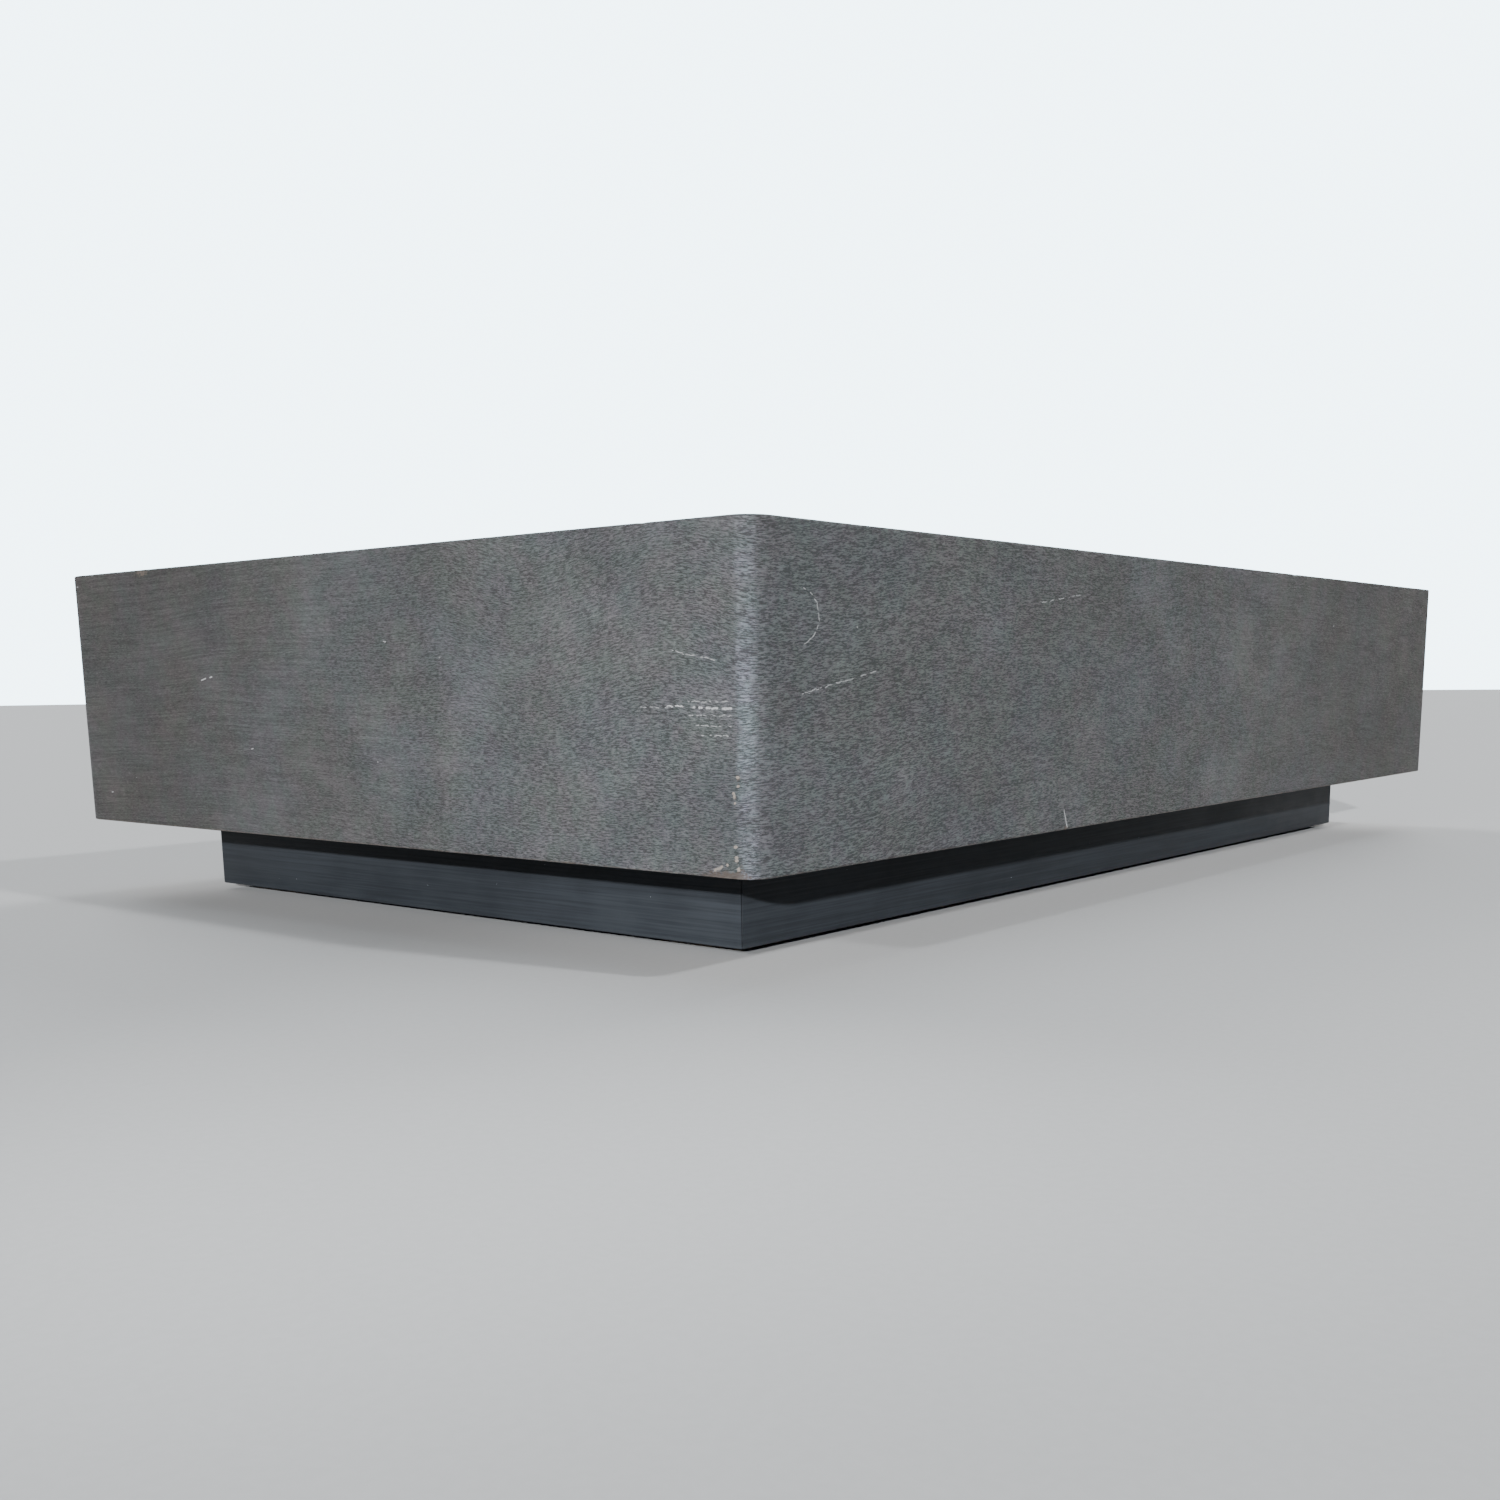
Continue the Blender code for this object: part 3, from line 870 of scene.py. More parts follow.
@dataclass
class TexturedCoat:
    """The trowelled coat over the top and the four sides, one closed skin, open below."""

    wall: float = 2.0 * MM
    corner: float = 16.0 * MM
    arris: float = 1.5 * MM
    foot_arris: float = 0.8 * MM
    pitch: float = 4.6 * MM
    row: float = 2.6 * MM
    top_pitch: float = 9.5 * MM
    corner_steps: int = 8
    arris_steps: int = 3
    swell: float = 0.35 * MM
    drag: float = 0.16 * MM
    comb: float = 0.12 * MM
    edge_wear: float = 0.45 * MM
    chip_depth: float = 0.9 * MM
    chips_on_a_side: int = 5
    low: Vector = field(default_factory=lambda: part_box("textured_coat")[0])
    high: Vector = field(default_factory=lambda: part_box("textured_coat")[1])

    def on(self, side: Side, along: float, height: float) -> Point3:
        """A point on an upright face.

        Args:
            side: The face.
            along: Metres from the face's left or front end.
            height: Metres above the coat's foot.

        Returns:
            The point in the frame.
        """
        x, y = side.value
        if x:
            return (x * self.high.x, self.low.y + along, self.low.z + height)
        return (self.low.x + along, y * self.high.y, self.low.z + height)

    def ring(self, inset: float, height: float) -> np.ndarray:
        """One level ring of points round the coat, the same number at every inset.

        Args:
            inset: How far it lies inside the coat's box.
            height: Its height.

        Returns:
            The points, anticlockwise from the right side's back end.
        """
        near_x, near_y = self.high.x - self.corner, self.high.y - self.corner
        radius = max(self.corner - inset, 0.0)
        spare = max(inset - self.corner, 0.0)
        count_x, count_y = round(2 * near_x / self.pitch), round(2 * near_y / self.pitch)
        points: list[Point2] = []
        for quarter, (side_x, side_y) in enumerate(((1, 1), (-1, 1), (-1, -1), (1, -1))):
            middle = np.array((side_x * (near_x - spare), side_y * (near_y - spare)))
            angles = (quarter + np.linspace(0, 1, self.corner_steps + 1)) * math.pi / 2
            arc = middle + radius * np.stack((np.cos(angles), np.sin(angles)), axis=1)
            count = count_x if quarter % 2 == 0 else count_y
            following = middle * ((-1, 1) if quarter % 2 == 0 else (1, -1))
            start = arc[-1]
            run = following + (arc[-1] - middle) - start
            shares = np.arange(1, count) / count
            points.extend(map(tuple, arc))
            points.extend(map(tuple, start + shares[:, None] * run))
        ring = np.array(points)
        return np.column_stack((ring, np.full(len(ring), height)))

    def profile(self) -> list[tuple[float, float, float]]:
        """The section from the inner wall's head, under the foot and up to the top.

        Returns:
            Each level's inset from the outside, its height, and 1 where it is outside.
        """
        low, high = self.low.z, self.high.z
        section = [(self.wall, high - self.wall, 0.0), (self.wall, low, 0.0)]
        for step in range(self.arris_steps + 1):
            angle = math.pi / 2 * step / self.arris_steps
            inset = self.foot_arris * (1 - math.sin(angle))
            section.append((inset, low + self.foot_arris * (1 - math.cos(angle)), 1.0))
        start, end = low + self.foot_arris, high - self.arris
        rows = round((end - start) / self.row)
        section += [(0.0, start + (end - start) * i / rows, 1.0) for i in range(1, rows)]
        for step in range(self.arris_steps + 1):
            angle = math.pi / 2 * step / self.arris_steps
            inset = self.arris * (1 - math.cos(angle))
            section.append((inset, end + self.arris * math.sin(angle), 1.0))
        rings = round((self.corner - self.arris) / self.pitch)
        step = (self.corner - self.arris) / rings
        section += [(self.arris + step * i, high, 1.0) for i in range(1, rings + 1)]
        return section

    def top_field(self, shape: bmesh.types.BMesh, rim: list[bmesh.types.BMVert]) -> None:
        """Fills the flat of the top inside its last ring with even triangles.

        Args:
            shape: The coat so far.
            rim: The last ring's points, some of which coincide.
        """
        corners = [v for i, v in enumerate(rim) if (v.co - rim[i - 1].co).length > 0.01 * MM]
        edge = [v.co.to_2d() for v in corners]
        reach_x, reach_y = self.high.x - self.corner, self.high.y - self.corner
        count_x, count_y = (round(2 * reach / self.top_pitch) for reach in (reach_x, reach_y))
        inner = [
            Vector((reach_x * (2 * (i + 0.5 * (j % 2)) / count_x - 1), reach_y * (2 * j / count_y - 1)))
            for i in range(1, count_x)
            for j in range(1, count_y)
        ]
        loop = [(i, (i + 1) % len(edge)) for i in range(len(edge))]
        found = delaunay_2d_cdt(edge + inner, loop, [], 1, 0.01 * MM)
        made = [
            corners[old[0]] if old[0] < len(edge) else shape.verts.new((*point, self.high.z))
            for point, old in zip(found[0], found[3])
        ]
        for face in found[2]:
            shape.faces.new([made[i] for i in face])

    def skin(self) -> bpy.types.Mesh:
        """The coat's even surface, before any relief, with its outside marked.

        Returns:
            The mesh.
        """
        shape = bmesh.new()
        outside = shape.verts.layers.float.new("outside")
        levels = []
        for inset, height, outer in self.profile():
            verts = [shape.verts.new(point) for point in self.ring(inset, height)]
            for vert in verts:
                vert[outside] = outer
            levels.append(verts)
        for below, above in zip(levels, levels[1:]):
            for i in range(len(below)):
                quad = (below[i - 1], below[i], above[i], above[i - 1])
                shape.faces.new(quad)
        shape.faces.new(list(reversed(levels[0])))
        fresh = len(shape.verts)
        self.top_field(shape, levels[-1])
        shape.verts.ensure_lookup_table()
        for vert in shape.verts[fresh:]:
            vert[outside] = 1.0
        bmesh.ops.remove_doubles(shape, verts=shape.verts, dist=0.01 * MM)
        bmesh.ops.recalc_face_normals(shape, faces=shape.faces)
        return mesh_of(shape, "textured_coat_skin")

    def mark_chips(self, mesh: bpy.types.Mesh, chips: list[Chip]) -> None:
        """Writes how far each point lies in a chip, from 0 outside to 1 at its middle.

        Args:
            mesh: The coat's skin.
            chips: The worn and knocked places.
        """
        points = np.empty(len(mesh.vertices) * 3)
        mesh.vertices.foreach_get("co", points)
        points = points.reshape(-1, 3)
        share = np.zeros(len(points))
        for chip in chips:
            apart = (points - np.array(chip.at)) / np.array(chip.reach)
            share = np.maximum(share, chip.depth * np.clip(1 - np.linalg.norm(apart, axis=1), 0, 1))
        layer = mesh.attributes.new("chip", "FLOAT", "POINT")
        layer.data.foreach_set("value", share.astype(np.float32))

    def chips(self) -> list[Chip]:
        """The knocked and worn places along the edges.

        Returns:
            Those in known places, then a few on each side.
        """
        left, front = Side.LEFT, Side.FRONT
        tall = self.high.z - self.low.z
        found = [
            Chip(self.on(left, 0.022, 0.001), (0.010, 0.040, 0.0055)),
            Chip(self.on(left, 0.018, 0.010), (0.01, 0.004, 0.009), 0.7),
            Chip(self.on(left, 0.012, 0.005), (0.01, 0.005, 0.008), 0.7),
            Chip(self.on(left, 0.014, 0.058), (0.01, 0.004, 0.009), 0.75),
            Chip(self.on(left, 0.016, 0.046), (0.01, 0.003, 0.005), 0.65),
            Chip(self.on(left, 0.643, tall - 0.003), (0.01, 0.022, 0.005), 0.7),
            Chip(self.on(front, 0.366, 0.001), (0.008, 0.01, 0.005), 0.8),
        ]
        random = np.random.default_rng(11)
        for side in Side:
            length = 2 * (self.high.y if side.value[0] else self.high.x)
            for _ in range(self.chips_on_a_side):
                along = random.uniform(0.05, length - 0.05)
                size = random.uniform(0.004, 0.012)
                across = (0.006, size, 0.004) if side.value[0] else (size, 0.006, 0.004)
                height = random.choice((0.0, tall), p=(0.7, 0.3))
                found.append(Chip(self.on(side, along, height), across, random.uniform(0.5, 0.9)))
        return found

    def trowelled(self, tree: GeometryTree, place: Socket, normal: Socket, seed: Socket) -> Socket:
        """How deep the trowel's swells, drags and comb marks lie.

        Args:
            tree: The relief's tree.
            place: Where a point lies.
            normal: The way that the skin faces there.
            seed: Which set of marks it is.

        Returns:
            The depth, in metres.
        """
        upward = tree.remap(tree.axes(normal)[2], 0.45, 0.8)
        level = tree.scaled(place, (1.0, 1.0, 4.0))
        lengthwise = tree.scaled(place, (1.0, 4.0, 4.0))
        lay = tree.blend(upward, level, lengthwise)
        swell = tree.value("Swell", self.swell)
        drag = tree.value("Trowel drag", self.drag)
        comb = tree.value("Comb marks", self.comb)
        depth = tree.times(tree.noise(place, 5.0, 1.0, seed=seed), swell)
        depth = tree.calc("MULTIPLY_ADD", tree.noise(lay, 26.0, 2.0, seed=seed), drag, depth)
        return tree.calc("MULTIPLY_ADD", tree.noise(lay, 95.0, 1.0, seed=seed), comb, depth)

    def relief(self, material: bpy.types.Material) -> GeometryTree:
        """The tree that lays the trowel's relief, the worn arris and the chips on the skin.

        Args:
            material: The coat's finish.

        Returns:
            The tree, with its depths as named inputs.
        """
        tree = GeometryTree("trowelled_relief")
        seed = tree.value("Seed", 3.0)
        place, normal = tree.field("Position"), tree.field("Normal")
        depth = self.trowelled(tree, place, normal, seed)
        slant = tree.measure("DOT_PRODUCT", tree.vector("ABSOLUTE", normal), (1.0, 1.0, 1.0))
        arris = tree.remap(tree.calc("ABSOLUTE", tree.axes(normal)[2]), 0.05, 0.3)
        arris = tree.times(tree.remap(slant, 1.1, 1.35), arris)
        ragged = tree.remap(tree.noise(place, 60.0, 3.0, 0.65, seed=seed), 0.35, 0.7)
        edge_wear = tree.value("Edge wear", self.edge_wear)
        depth = tree.calc("MULTIPLY_ADD", tree.times(arris, ragged), edge_wear, depth)
        grain = broken_grain(tree, place)
        chip = tree.calc("MULTIPLY_ADD", grain, 1.2, tree.attribute("chip"))
        chip_depth = tree.value("Chip depth", self.chip_depth)
        depth = tree.calc("MULTIPLY_ADD", tree.remap(chip, 0.9, 1.2), chip_depth, depth)
        depth = tree.times(depth, tree.attribute("outside"))
        inputs = {0: normal, "Scale": tree.times(depth, -1.0)}
        inwards = tree.output("ShaderNodeVectorMath", inputs, operation="SCALE")
        inputs = {"Geometry": tree.geometry, "Offset": inwards}
        tree.finish(tree.output("GeometryNodeSetPosition", inputs), material)
        return tree

    def build(self) -> Object:
        """Makes the coat's skin in its finish.

        Returns:
            The finished piece.
        """
        finish = StoneCoat(self.high.x, self.high.y, self.low.z, self.corner).build()
        mesh = self.skin()
        self.mark_chips(mesh, self.chips())
        piece = self.relief(finish).run(new_piece("textured_coat_skin", mesh))
        return settle(piece, Slot.COAT, ["textured_coat"], 60.0)


# ------------------------------------------------------------ marks of use


@dataclass(frozen=True)
class Rub:
    """A line where something rubbed or scratched the coat."""

    points: tuple[Point3, ...]
    width: float
    broken: float = 0.5


@dataclass(frozen=True)
class Crumbs:
    """Small crumbs strewn over a surface: how many, how large and how varied."""

    density: float
    size: float
    least: Point3
    most: Point3
    seed: int
    rounds: int = 1
    lumps: float = 0.0

    def strewn(self, tree: GeometryTree, chosen: Socket) -> Socket:
        """Sets crumbs at random places on the geometry that comes in.

        Args:
            tree: The tree that they are made in.
            chosen: Where they may lie.

        Returns:
            The crumbs, as instances.
        """
        inputs = {
            "Mesh": tree.geometry,
            "Density": tree.value("Specks in a square metre", self.density),
            "Seed": tree.value("Seed", self.seed, "Int"),
            "Selection": chosen,
        }
        points = tree.node("GeometryNodeDistributePointsOnFaces", inputs).outputs
        inputs = {"Radius": 1.0, "Subdivisions": self.rounds}
        crumb = tree.output("GeometryNodeMeshIcoSphere", inputs)
        if self.lumps:
            lump = tree.noise(tree.field("Position"), 1.4, 2.0, seed=2.0, colour=True)
            lump = tree.vector("MULTIPLY_ADD", lump, (self.lumps,) * 3, (-self.lumps / 2,) * 3)
            crumb = tree.output("GeometryNodeSetPosition", {"Geometry": crumb, "Offset": lump})
        size = tree.value("Size", self.size)
        size = tree.joined(size, size, size)
        inputs = {0: tree.scaled(self.least, size), 1: tree.scaled(self.most, size), "Seed": 4}
        scale = tree.output("FunctionNodeRandomValue", inputs, data_type="FLOAT_VECTOR")
        return tree.copies(points["Points"], crumb, points["Rotation"], scale)


@dataclass
class MarksOfUse:
    """Chalky rubs, scratches and specks that lie on the coat."""

    coat: TexturedCoat
    skin: Object
    proud: float = 0.12 * MM
    step: float = 1.1 * MM
    stray: float = 2.4 * MM
    specks: Crumbs = Crumbs(30.0, 0.5 * MM, (0.6, 0.5, 0.25), (1.7, 1.3, 0.5), 21, 2, 0.9)

    def rubs(self) -> list[Rub]:
        """The rubs that show as pale lines.

        Returns:
            The long ones and then the single dots.
        """
        on = self.coat.on
        left, front = Side.LEFT, Side.FRONT
        found = [
            Rub((on(left, 0.017, 0.0985), on(left, 0.046, 0.099)), 1.4 * MM, 0.42),
            Rub((on(left, 0.049, 0.0995), on(left, 0.067, 0.0998)), 1.0 * MM, 0.45),
            Rub((on(front, 0.362, 0.015), on(front, 0.368, 0.002)), 1.0 * MM, 0.2),
            Rub((on(left, 0.550, 0.121), on(left, 0.566, 0.118)), 1.2 * MM, 0.55),
        ]
        found += [
            Rub((on(left, along, height), on(left, along + 1.6 * MM, height)), 1.0 * MM, -0.8)
            for along, height in ((0.745, 0.197), (0.501, 0.066), (0.332, 0.143), (0.716, 0.025))
        ]
        return found

    def scratches(self) -> list[Rub]:
        """The faint scratches, little paler than the coat.

        Returns:
            The crescent, the single scratches, the level ones by the corner and the strays.
        """
        on = self.coat.on
        left, front = Side.LEFT, Side.FRONT
        bow = [math.radians(angle) for angle in range(70, -71, -20)]
        crescent = tuple(
            on(front, 0.040 + 0.022 * math.cos(a), 0.151 + 0.017 * math.sin(a)) for a in bow
        )
        level = ((0.1025, 0.05), (0.0945, 0.05), (0.0885, 0.045), (0.099, 0.095), (0.083, 0.04))
        found = [
            Rub(crescent, 0.65 * MM, 0.5),
            Rub((on(left, 0.030, 0.126), on(left, 0.062, 0.132)), 0.6 * MM, 0.4),
            Rub((on(front, 0.044, 0.106), on(front, 0.120, 0.119)), 0.65 * MM, 0.5),
        ]
        found += [
            Rub((on(left, 0.018, height), on(left, end, height)), 0.6 * MM, 0.6)
            for height, end in level
        ]
        return found + self.stray_scratches()

    def bare_flecks(self) -> list[Rub]:
        """The upright row of warm flecks beside the worn corner.

        Returns:
            The rows, each a broken line.
        """
        on, left = self.coat.on, Side.LEFT
        return [
            Rub((on(left, 0.0135, 0.068), on(left, 0.0135, 0.052)), 2.6 * MM, 0.62),
            Rub((on(left, 0.0165, 0.050), on(left, 0.0160, 0.042)), 2.0 * MM, 0.6),
            Rub((on(left, 0.0160, 0.019), on(left, 0.0140, 0.004)), 2.8 * MM, 0.62),
            Rub((on(left, 0.0200, 0.009), on(left, 0.0330, 0.004)), 1.8 * MM, 0.6),
        ]

    def stray_scratches(self) -> list[Rub]:
        """A few more faint scratches round the other sides.

        Returns:
            Two on the back, one on the right and one on the front.
        """
        on = self.coat.on
        found = []
        random = np.random.default_rng(5)
        for side in (Side.BACK, Side.RIGHT, Side.FRONT):
            for _ in range(1 + (side is Side.BACK)):
                along = random.uniform(0.15, 0.55)
                height = random.uniform(0.04, 0.17)
                far = along + random.uniform(0.02, 0.06)
                end = on(side, far, height + random.uniform(-0.01, 0.01))
                found.append(Rub((on(side, along, height), end), 0.6 * MM, 0.62))
        return found

    def strands(self, name: str, rubs: list[Rub]) -> Object:
        """Strings each rub's points into a curve.

        A curve's radius and tilt reach the tree as fields, so they carry half the
        rub's width and how broken it is.

        Args:
            name: The object's name.
            rubs: The lines.

        Returns:
            The curves, in one object.
        """
        curve = bpy.data.curves.new(name, "CURVE")
        curve.dimensions = "3D"
        for rub in rubs:
            spline = curve.splines.new("POLY")
            spline.points.add(len(rub.points) - 1)
            for point, place in zip(spline.points, rub.points):
                point.co = (*place, 1.0)
                point.radius = rub.width / 2
                point.tilt = rub.broken
        return new_piece(name, curve)

    def laid(self, tree: GeometryTree, points: bpy.types.Node, place: Socket) -> tuple[Socket, Socket]:
        """Draws a line's points onto the coat, each a little astray.

        Args:
            tree: The ribbons' tree.
            points: The node that turns the curves into points.
            place: Where a point lies.

        Returns:
            The points, and the rotation that lays a flake flat along its line.
        """
        skin = tree.shape_of("Coat", self.skin)
        near = tree.output("GeometryNodeProximity", {"Geometry": skin}, target_element="FACES")
        inputs = {"Mesh": skin, "Value": tree.field("Normal")}
        flat = tree.output("GeometryNodeSampleNearestSurface", inputs, data_type="FLOAT_VECTOR")
        turn = tree.output("FunctionNodeAlignRotationToVector", {"Vector": flat}, axis="Z")
        inputs = {"Rotation": turn, "Vector": points.outputs["Tangent"]}
        turn = tree.output("FunctionNodeAlignRotationToVector", inputs, axis="X", pivot_axis="Z")
        stray = tree.noise(place, 420.0, 1.0, seed=3.0, colour=True)
        stray = tree.vector("MULTIPLY_ADD", stray, (self.stray,) * 3, (-self.stray / 2,) * 3)
        inputs = {"Geometry": points.outputs[0], "Offset": stray}
        held = tree.output("GeometryNodeSetPosition", inputs)
        held = tree.output("GeometryNodeSetPosition", {"Geometry": held, "Position": near})
        return held, turn

    def ribbons(self, name: str, material: bpy.types.Material) -> GeometryTree:
        """The tree that turns lines into thin broken ribbons of flakes on the coat.

        Args:
            name: The tree's name.
            material: The flakes' finish.

        Returns:
            The tree.
        """
        tree = GeometryTree(name)
        step = tree.value("Step", self.step)
        proud = tree.value("Stands proud", self.proud)
        seed = tree.value("Seed", 7.0)
        strands = tree.geometry
        for carried, source in (("broken", "CurveTilt"), ("half_width", "Radius")):
            inputs = {"Geometry": strands, "Name": carried, "Value": tree.field(source)}
            strands = tree.output("GeometryNodeStoreNamedAttribute", inputs)
        inputs = {"Curve": strands, "Length": step}
        even = tree.output("GeometryNodeResampleCurve", inputs, mode="LENGTH")
        points = tree.node("GeometryNodeCurveToPoints", {"Curve": even}, mode="EVALUATED")
        place = tree.field("Position")
        held, turn = self.laid(tree, points, place)
        gaps = tree.noise(place, 330.0, 2.0, 0.6, seed=seed)
        least = tree.calc("MULTIPLY_ADD", tree.attribute("broken"), 0.36, 0.30)
        keep = tree.calc("GREATER_THAN", gaps, least)
        flake = tree.output("GeometryNodeMeshIcoSphere", {"Radius": 1.0, "Subdivisions": 2})
        wide = tree.times(tree.attribute("half_width"), tree.remap(gaps, 0.3, 0.7, 0.6, 1.25))
        size = tree.joined(tree.times(step, 0.9), wide, proud)
        tree.finish(tree.copies(held, flake, turn, size, keep), material)
        return tree

    def lines(self, name: str, rubs: list[Rub], material: bpy.types.Material) -> Object:
        """Makes a set of rubs as thin broken ribbons that hug the coat.

        Args:
            name: The piece's name.
            rubs: The lines.
            material: Their finish.

        Returns:
            The finished piece.
        """
        strands = self.strands(name, rubs)
        mesh = self.ribbons(name + "_ribbons", material).plain_mesh(strands)
        bpy.data.objects.remove(strands)
        return settle(new_piece(name, mesh), Slot.COAT, [])

    def plaster_specks(self, material: bpy.types.Material) -> Object:
        """Strews small crumbs of plaster over the coat's outside.

        Args:
            material: Their finish.

        Returns:
            The finished piece.
        """
        tree = GeometryTree("plaster_specks")
        tree.finish(self.specks.strewn(tree, tree.attribute("outside")), material)
        piece = new_piece("plaster_specks", self.skin.data.copy())
        return settle(tree.run(piece), Slot.COAT, [])

    def build(self) -> None:
        """Makes every mark."""
        chalk = Chalk("chalky_rub", (0.29, 0.295, 0.30), (0.17, 0.175, 0.18)).build()
        faint = Chalk("scratched_coat", (0.20, 0.207, 0.21), (0.14, 0.145, 0.148)).build()
        warm = Chalk("bare_fleck", (0.170, 0.150, 0.132), (0.120, 0.109, 0.098)).build()
        self.lines("chalky_rubs", self.rubs(), chalk)
        self.lines("faint_scratches", self.scratches(), faint)
        self.lines("bare_flecks", self.bare_flecks(), warm)
        self.plaster_specks(chalk)


# ------------------------------------------------------- boards and plinth


@dataclass
class Carcass:
    """The hollow box of boards, posts, ribs and dowels under the coat."""

    board: bpy.types.Material
    post: bpy.types.Material
    dowel: bpy.types.Material

    def dress(self) -> None:
        """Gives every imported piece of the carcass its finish."""
        for start in ("top_board", "bottom_board", "side_board", "spine_rib", "cross_rib"):
            dress(named(start), self.board)
        dress(named("corner_post"), self.post)
        dress(named("post_dowel") + named("side_dowel"), self.dowel)


def dress(nodes: list[str], material: bpy.types.Material) -> None:
    """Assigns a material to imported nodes.

    Args:
        nodes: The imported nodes' names.
        material: Their finish.
    """
    for name in nodes:
        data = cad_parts[name].data
        data.materials.clear()
        data.materials.append(material)
        LOG.info("%s: %s", name, material.name)


@dataclass
class Plinth:
    """The recessed base: four painted, mitred rails, cross rails and blocks."""

    paint: bpy.types.Material
    wood: bpy.types.Material
    arris: float = 0.7 * MM
    arris_steps: int = 3
    dust: Crumbs = Crumbs(240.0, 0.28 * MM, (0.4, 0.3, 0.2), (2.2, 1.3, 0.5), 9)

    def rail(self, node: str) -> Object:
        """Makes one rail with eased edges.

        Args:
            node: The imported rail.

        Returns:
            The finished piece.
        """
        piece = welded_copy(node, node + "_painted")
        ease = piece.modifiers.new("eased_edges", "BEVEL")
        ease.width = self.arris
        ease.segments = self.arris_steps
        ease.limit_method = "ANGLE"
        ease.angle_limit = math.radians(20)
        ease.harden_normals = False
        applied(piece)
        piece.data.materials.clear()
        piece.data.materials.append(self.paint)
        return settle(piece, Slot.PAINT, [node])

    def dust_on(self, rails: list[Object], material: bpy.types.Material) -> Object:
        """Strews dust over the rails' outer faces.

        Args:
            rails: The four finished rails.
            material: The dust's finish.

        Returns:
            The finished piece.
        """
        shape = bmesh.new()
        for rail in rails:
            shape.from_mesh(rail.data)
        piece = new_piece("plinth_dust", mesh_of(shape, "plinth_dust"))
        tree = GeometryTree("plinth_dust")
        normal = tree.field("Normal")
        outwards = tree.measure("DOT_PRODUCT", tree.field("Position"), normal)
        outer = tree.calc("GREATER_THAN", outwards, 0.05)
        upright = tree.calc("LESS_THAN", tree.calc("ABSOLUTE", tree.axes(normal)[2]), 0.3)
        tree.finish(self.dust.strewn(tree, tree.times(outer, upright)), material)
        return settle(tree.run(piece), Slot.PAINT, [])

    def build(self) -> None:
        """Makes the rails and dresses the blocks."""
        rails = [self.rail(node) for node in named("plinth_rail")]
        settled = Chalk("settled_dust", (0.22, 0.24, 0.27), (0.12, 0.13, 0.15)).build()
        self.dust_on(rails, settled)
        dress(named("plinth_cross_rail") + named("plinth_block"), self.wood)


@dataclass
class TurnedSet:
    """A turned piece that repeats: one section, turned and set at every place."""

    name: str
    nodes: list[str]
    section: list[Point2]
    slot: Slot
    material: bpy.types.Material
    steps: int = 32
    recess: float = 0.0
    recess_depth: float = 0.0
    turn: float = 0.7

    def pattern(self) -> bpy.types.Mesh:
        """One piece about its own axis, at its own height.

        Returns:
            The mesh.
        """
        shape = bmesh.new()
        verts = [shape.verts.new((radius, 0.0, height)) for radius, height in self.section]
        edges = [shape.edges.new(pair) for pair in zip(verts, verts[1:])]
        if self.section[0][0] > 0:
            edges.append(shape.edges.new((verts[-1], verts[0])))
        bmesh.ops.spin(
            shape, geom=verts + edges, cent=(0, 0, 0), axis=(0, 0, 1),
            angle=2 * math.pi, steps=self.steps, use_merge=True,
        )
        bmesh.ops.remove_doubles(shape, verts=shape.verts, dist=0.001 * MM)
        bmesh.ops.recalc_face_normals(shape, faces=shape.faces)
        mesh = mesh_of(shape, self.name)
        return self.crossed(mesh) if self.recess else mesh

    def crossed(self, mesh: bpy.types.Mesh) -> bpy.types.Mesh:
        """Sinks a cross-shaped driver's recess into the piece's foot.

        Args:
            mesh: The turned piece.

        Returns:
            The cut mesh.
        """
        piece = new_piece(self.name + "_blank", mesh)
        shape = bmesh.new()
        for turn in (0.0, math.pi / 2):
            size = Matrix.Diagonal((self.recess, self.recess / 4, 2 * self.recess_depth, 1.0))
            bmesh.ops.create_cube(shape, size=1.0, matrix=Matrix.Rotation(turn, 4, "Z") @ size)
        foot = min(height for _, height in self.section)
        bmesh.ops.translate(shape, vec=(0, 0, foot), verts=shape.verts)
        cutter = new_piece(self.name + "_cutter", mesh_of(shape, self.name + "_cutter"))
        cut = piece.modifiers.new("cross_recess", "BOOLEAN")
        cut.operation = "DIFFERENCE"
        cut.object = cutter
        cut.use_self = True
        made = applied(piece).data
        bpy.data.objects.remove(piece)
        bpy.data.objects.remove(cutter)
        return made

    def build(self) -> Object:
        """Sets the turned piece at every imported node's place.

        Returns:
            The finished piece, which holds them all.
        """
        pattern = new_piece(self.name + "_pattern", self.pattern())
        feet = bpy.data.meshes.new(self.name)
        feet.from_pydata([Vector((*centre(node).to_2d(), 0.0)) for node in self.nodes], [], [])
        tree = GeometryTree(self.name)
        turned = tree.shape_of("Pattern", pattern)
        apart = tree.value("Turn between pieces", self.turn)
        turn = tree.joined(0.0, 0.0, tree.times(tree.field("Index"), apart))
        spots = tree.output("GeometryNodeMeshToPoints", {"Mesh": tree.geometry})
        tree.finish(tree.copies(spots, turned, turn), self.material)
        piece = tree.run(new_piece(self.name, feet))
        bpy.data.objects.remove(pattern)
        return settle(piece, self.slot, self.nodes)


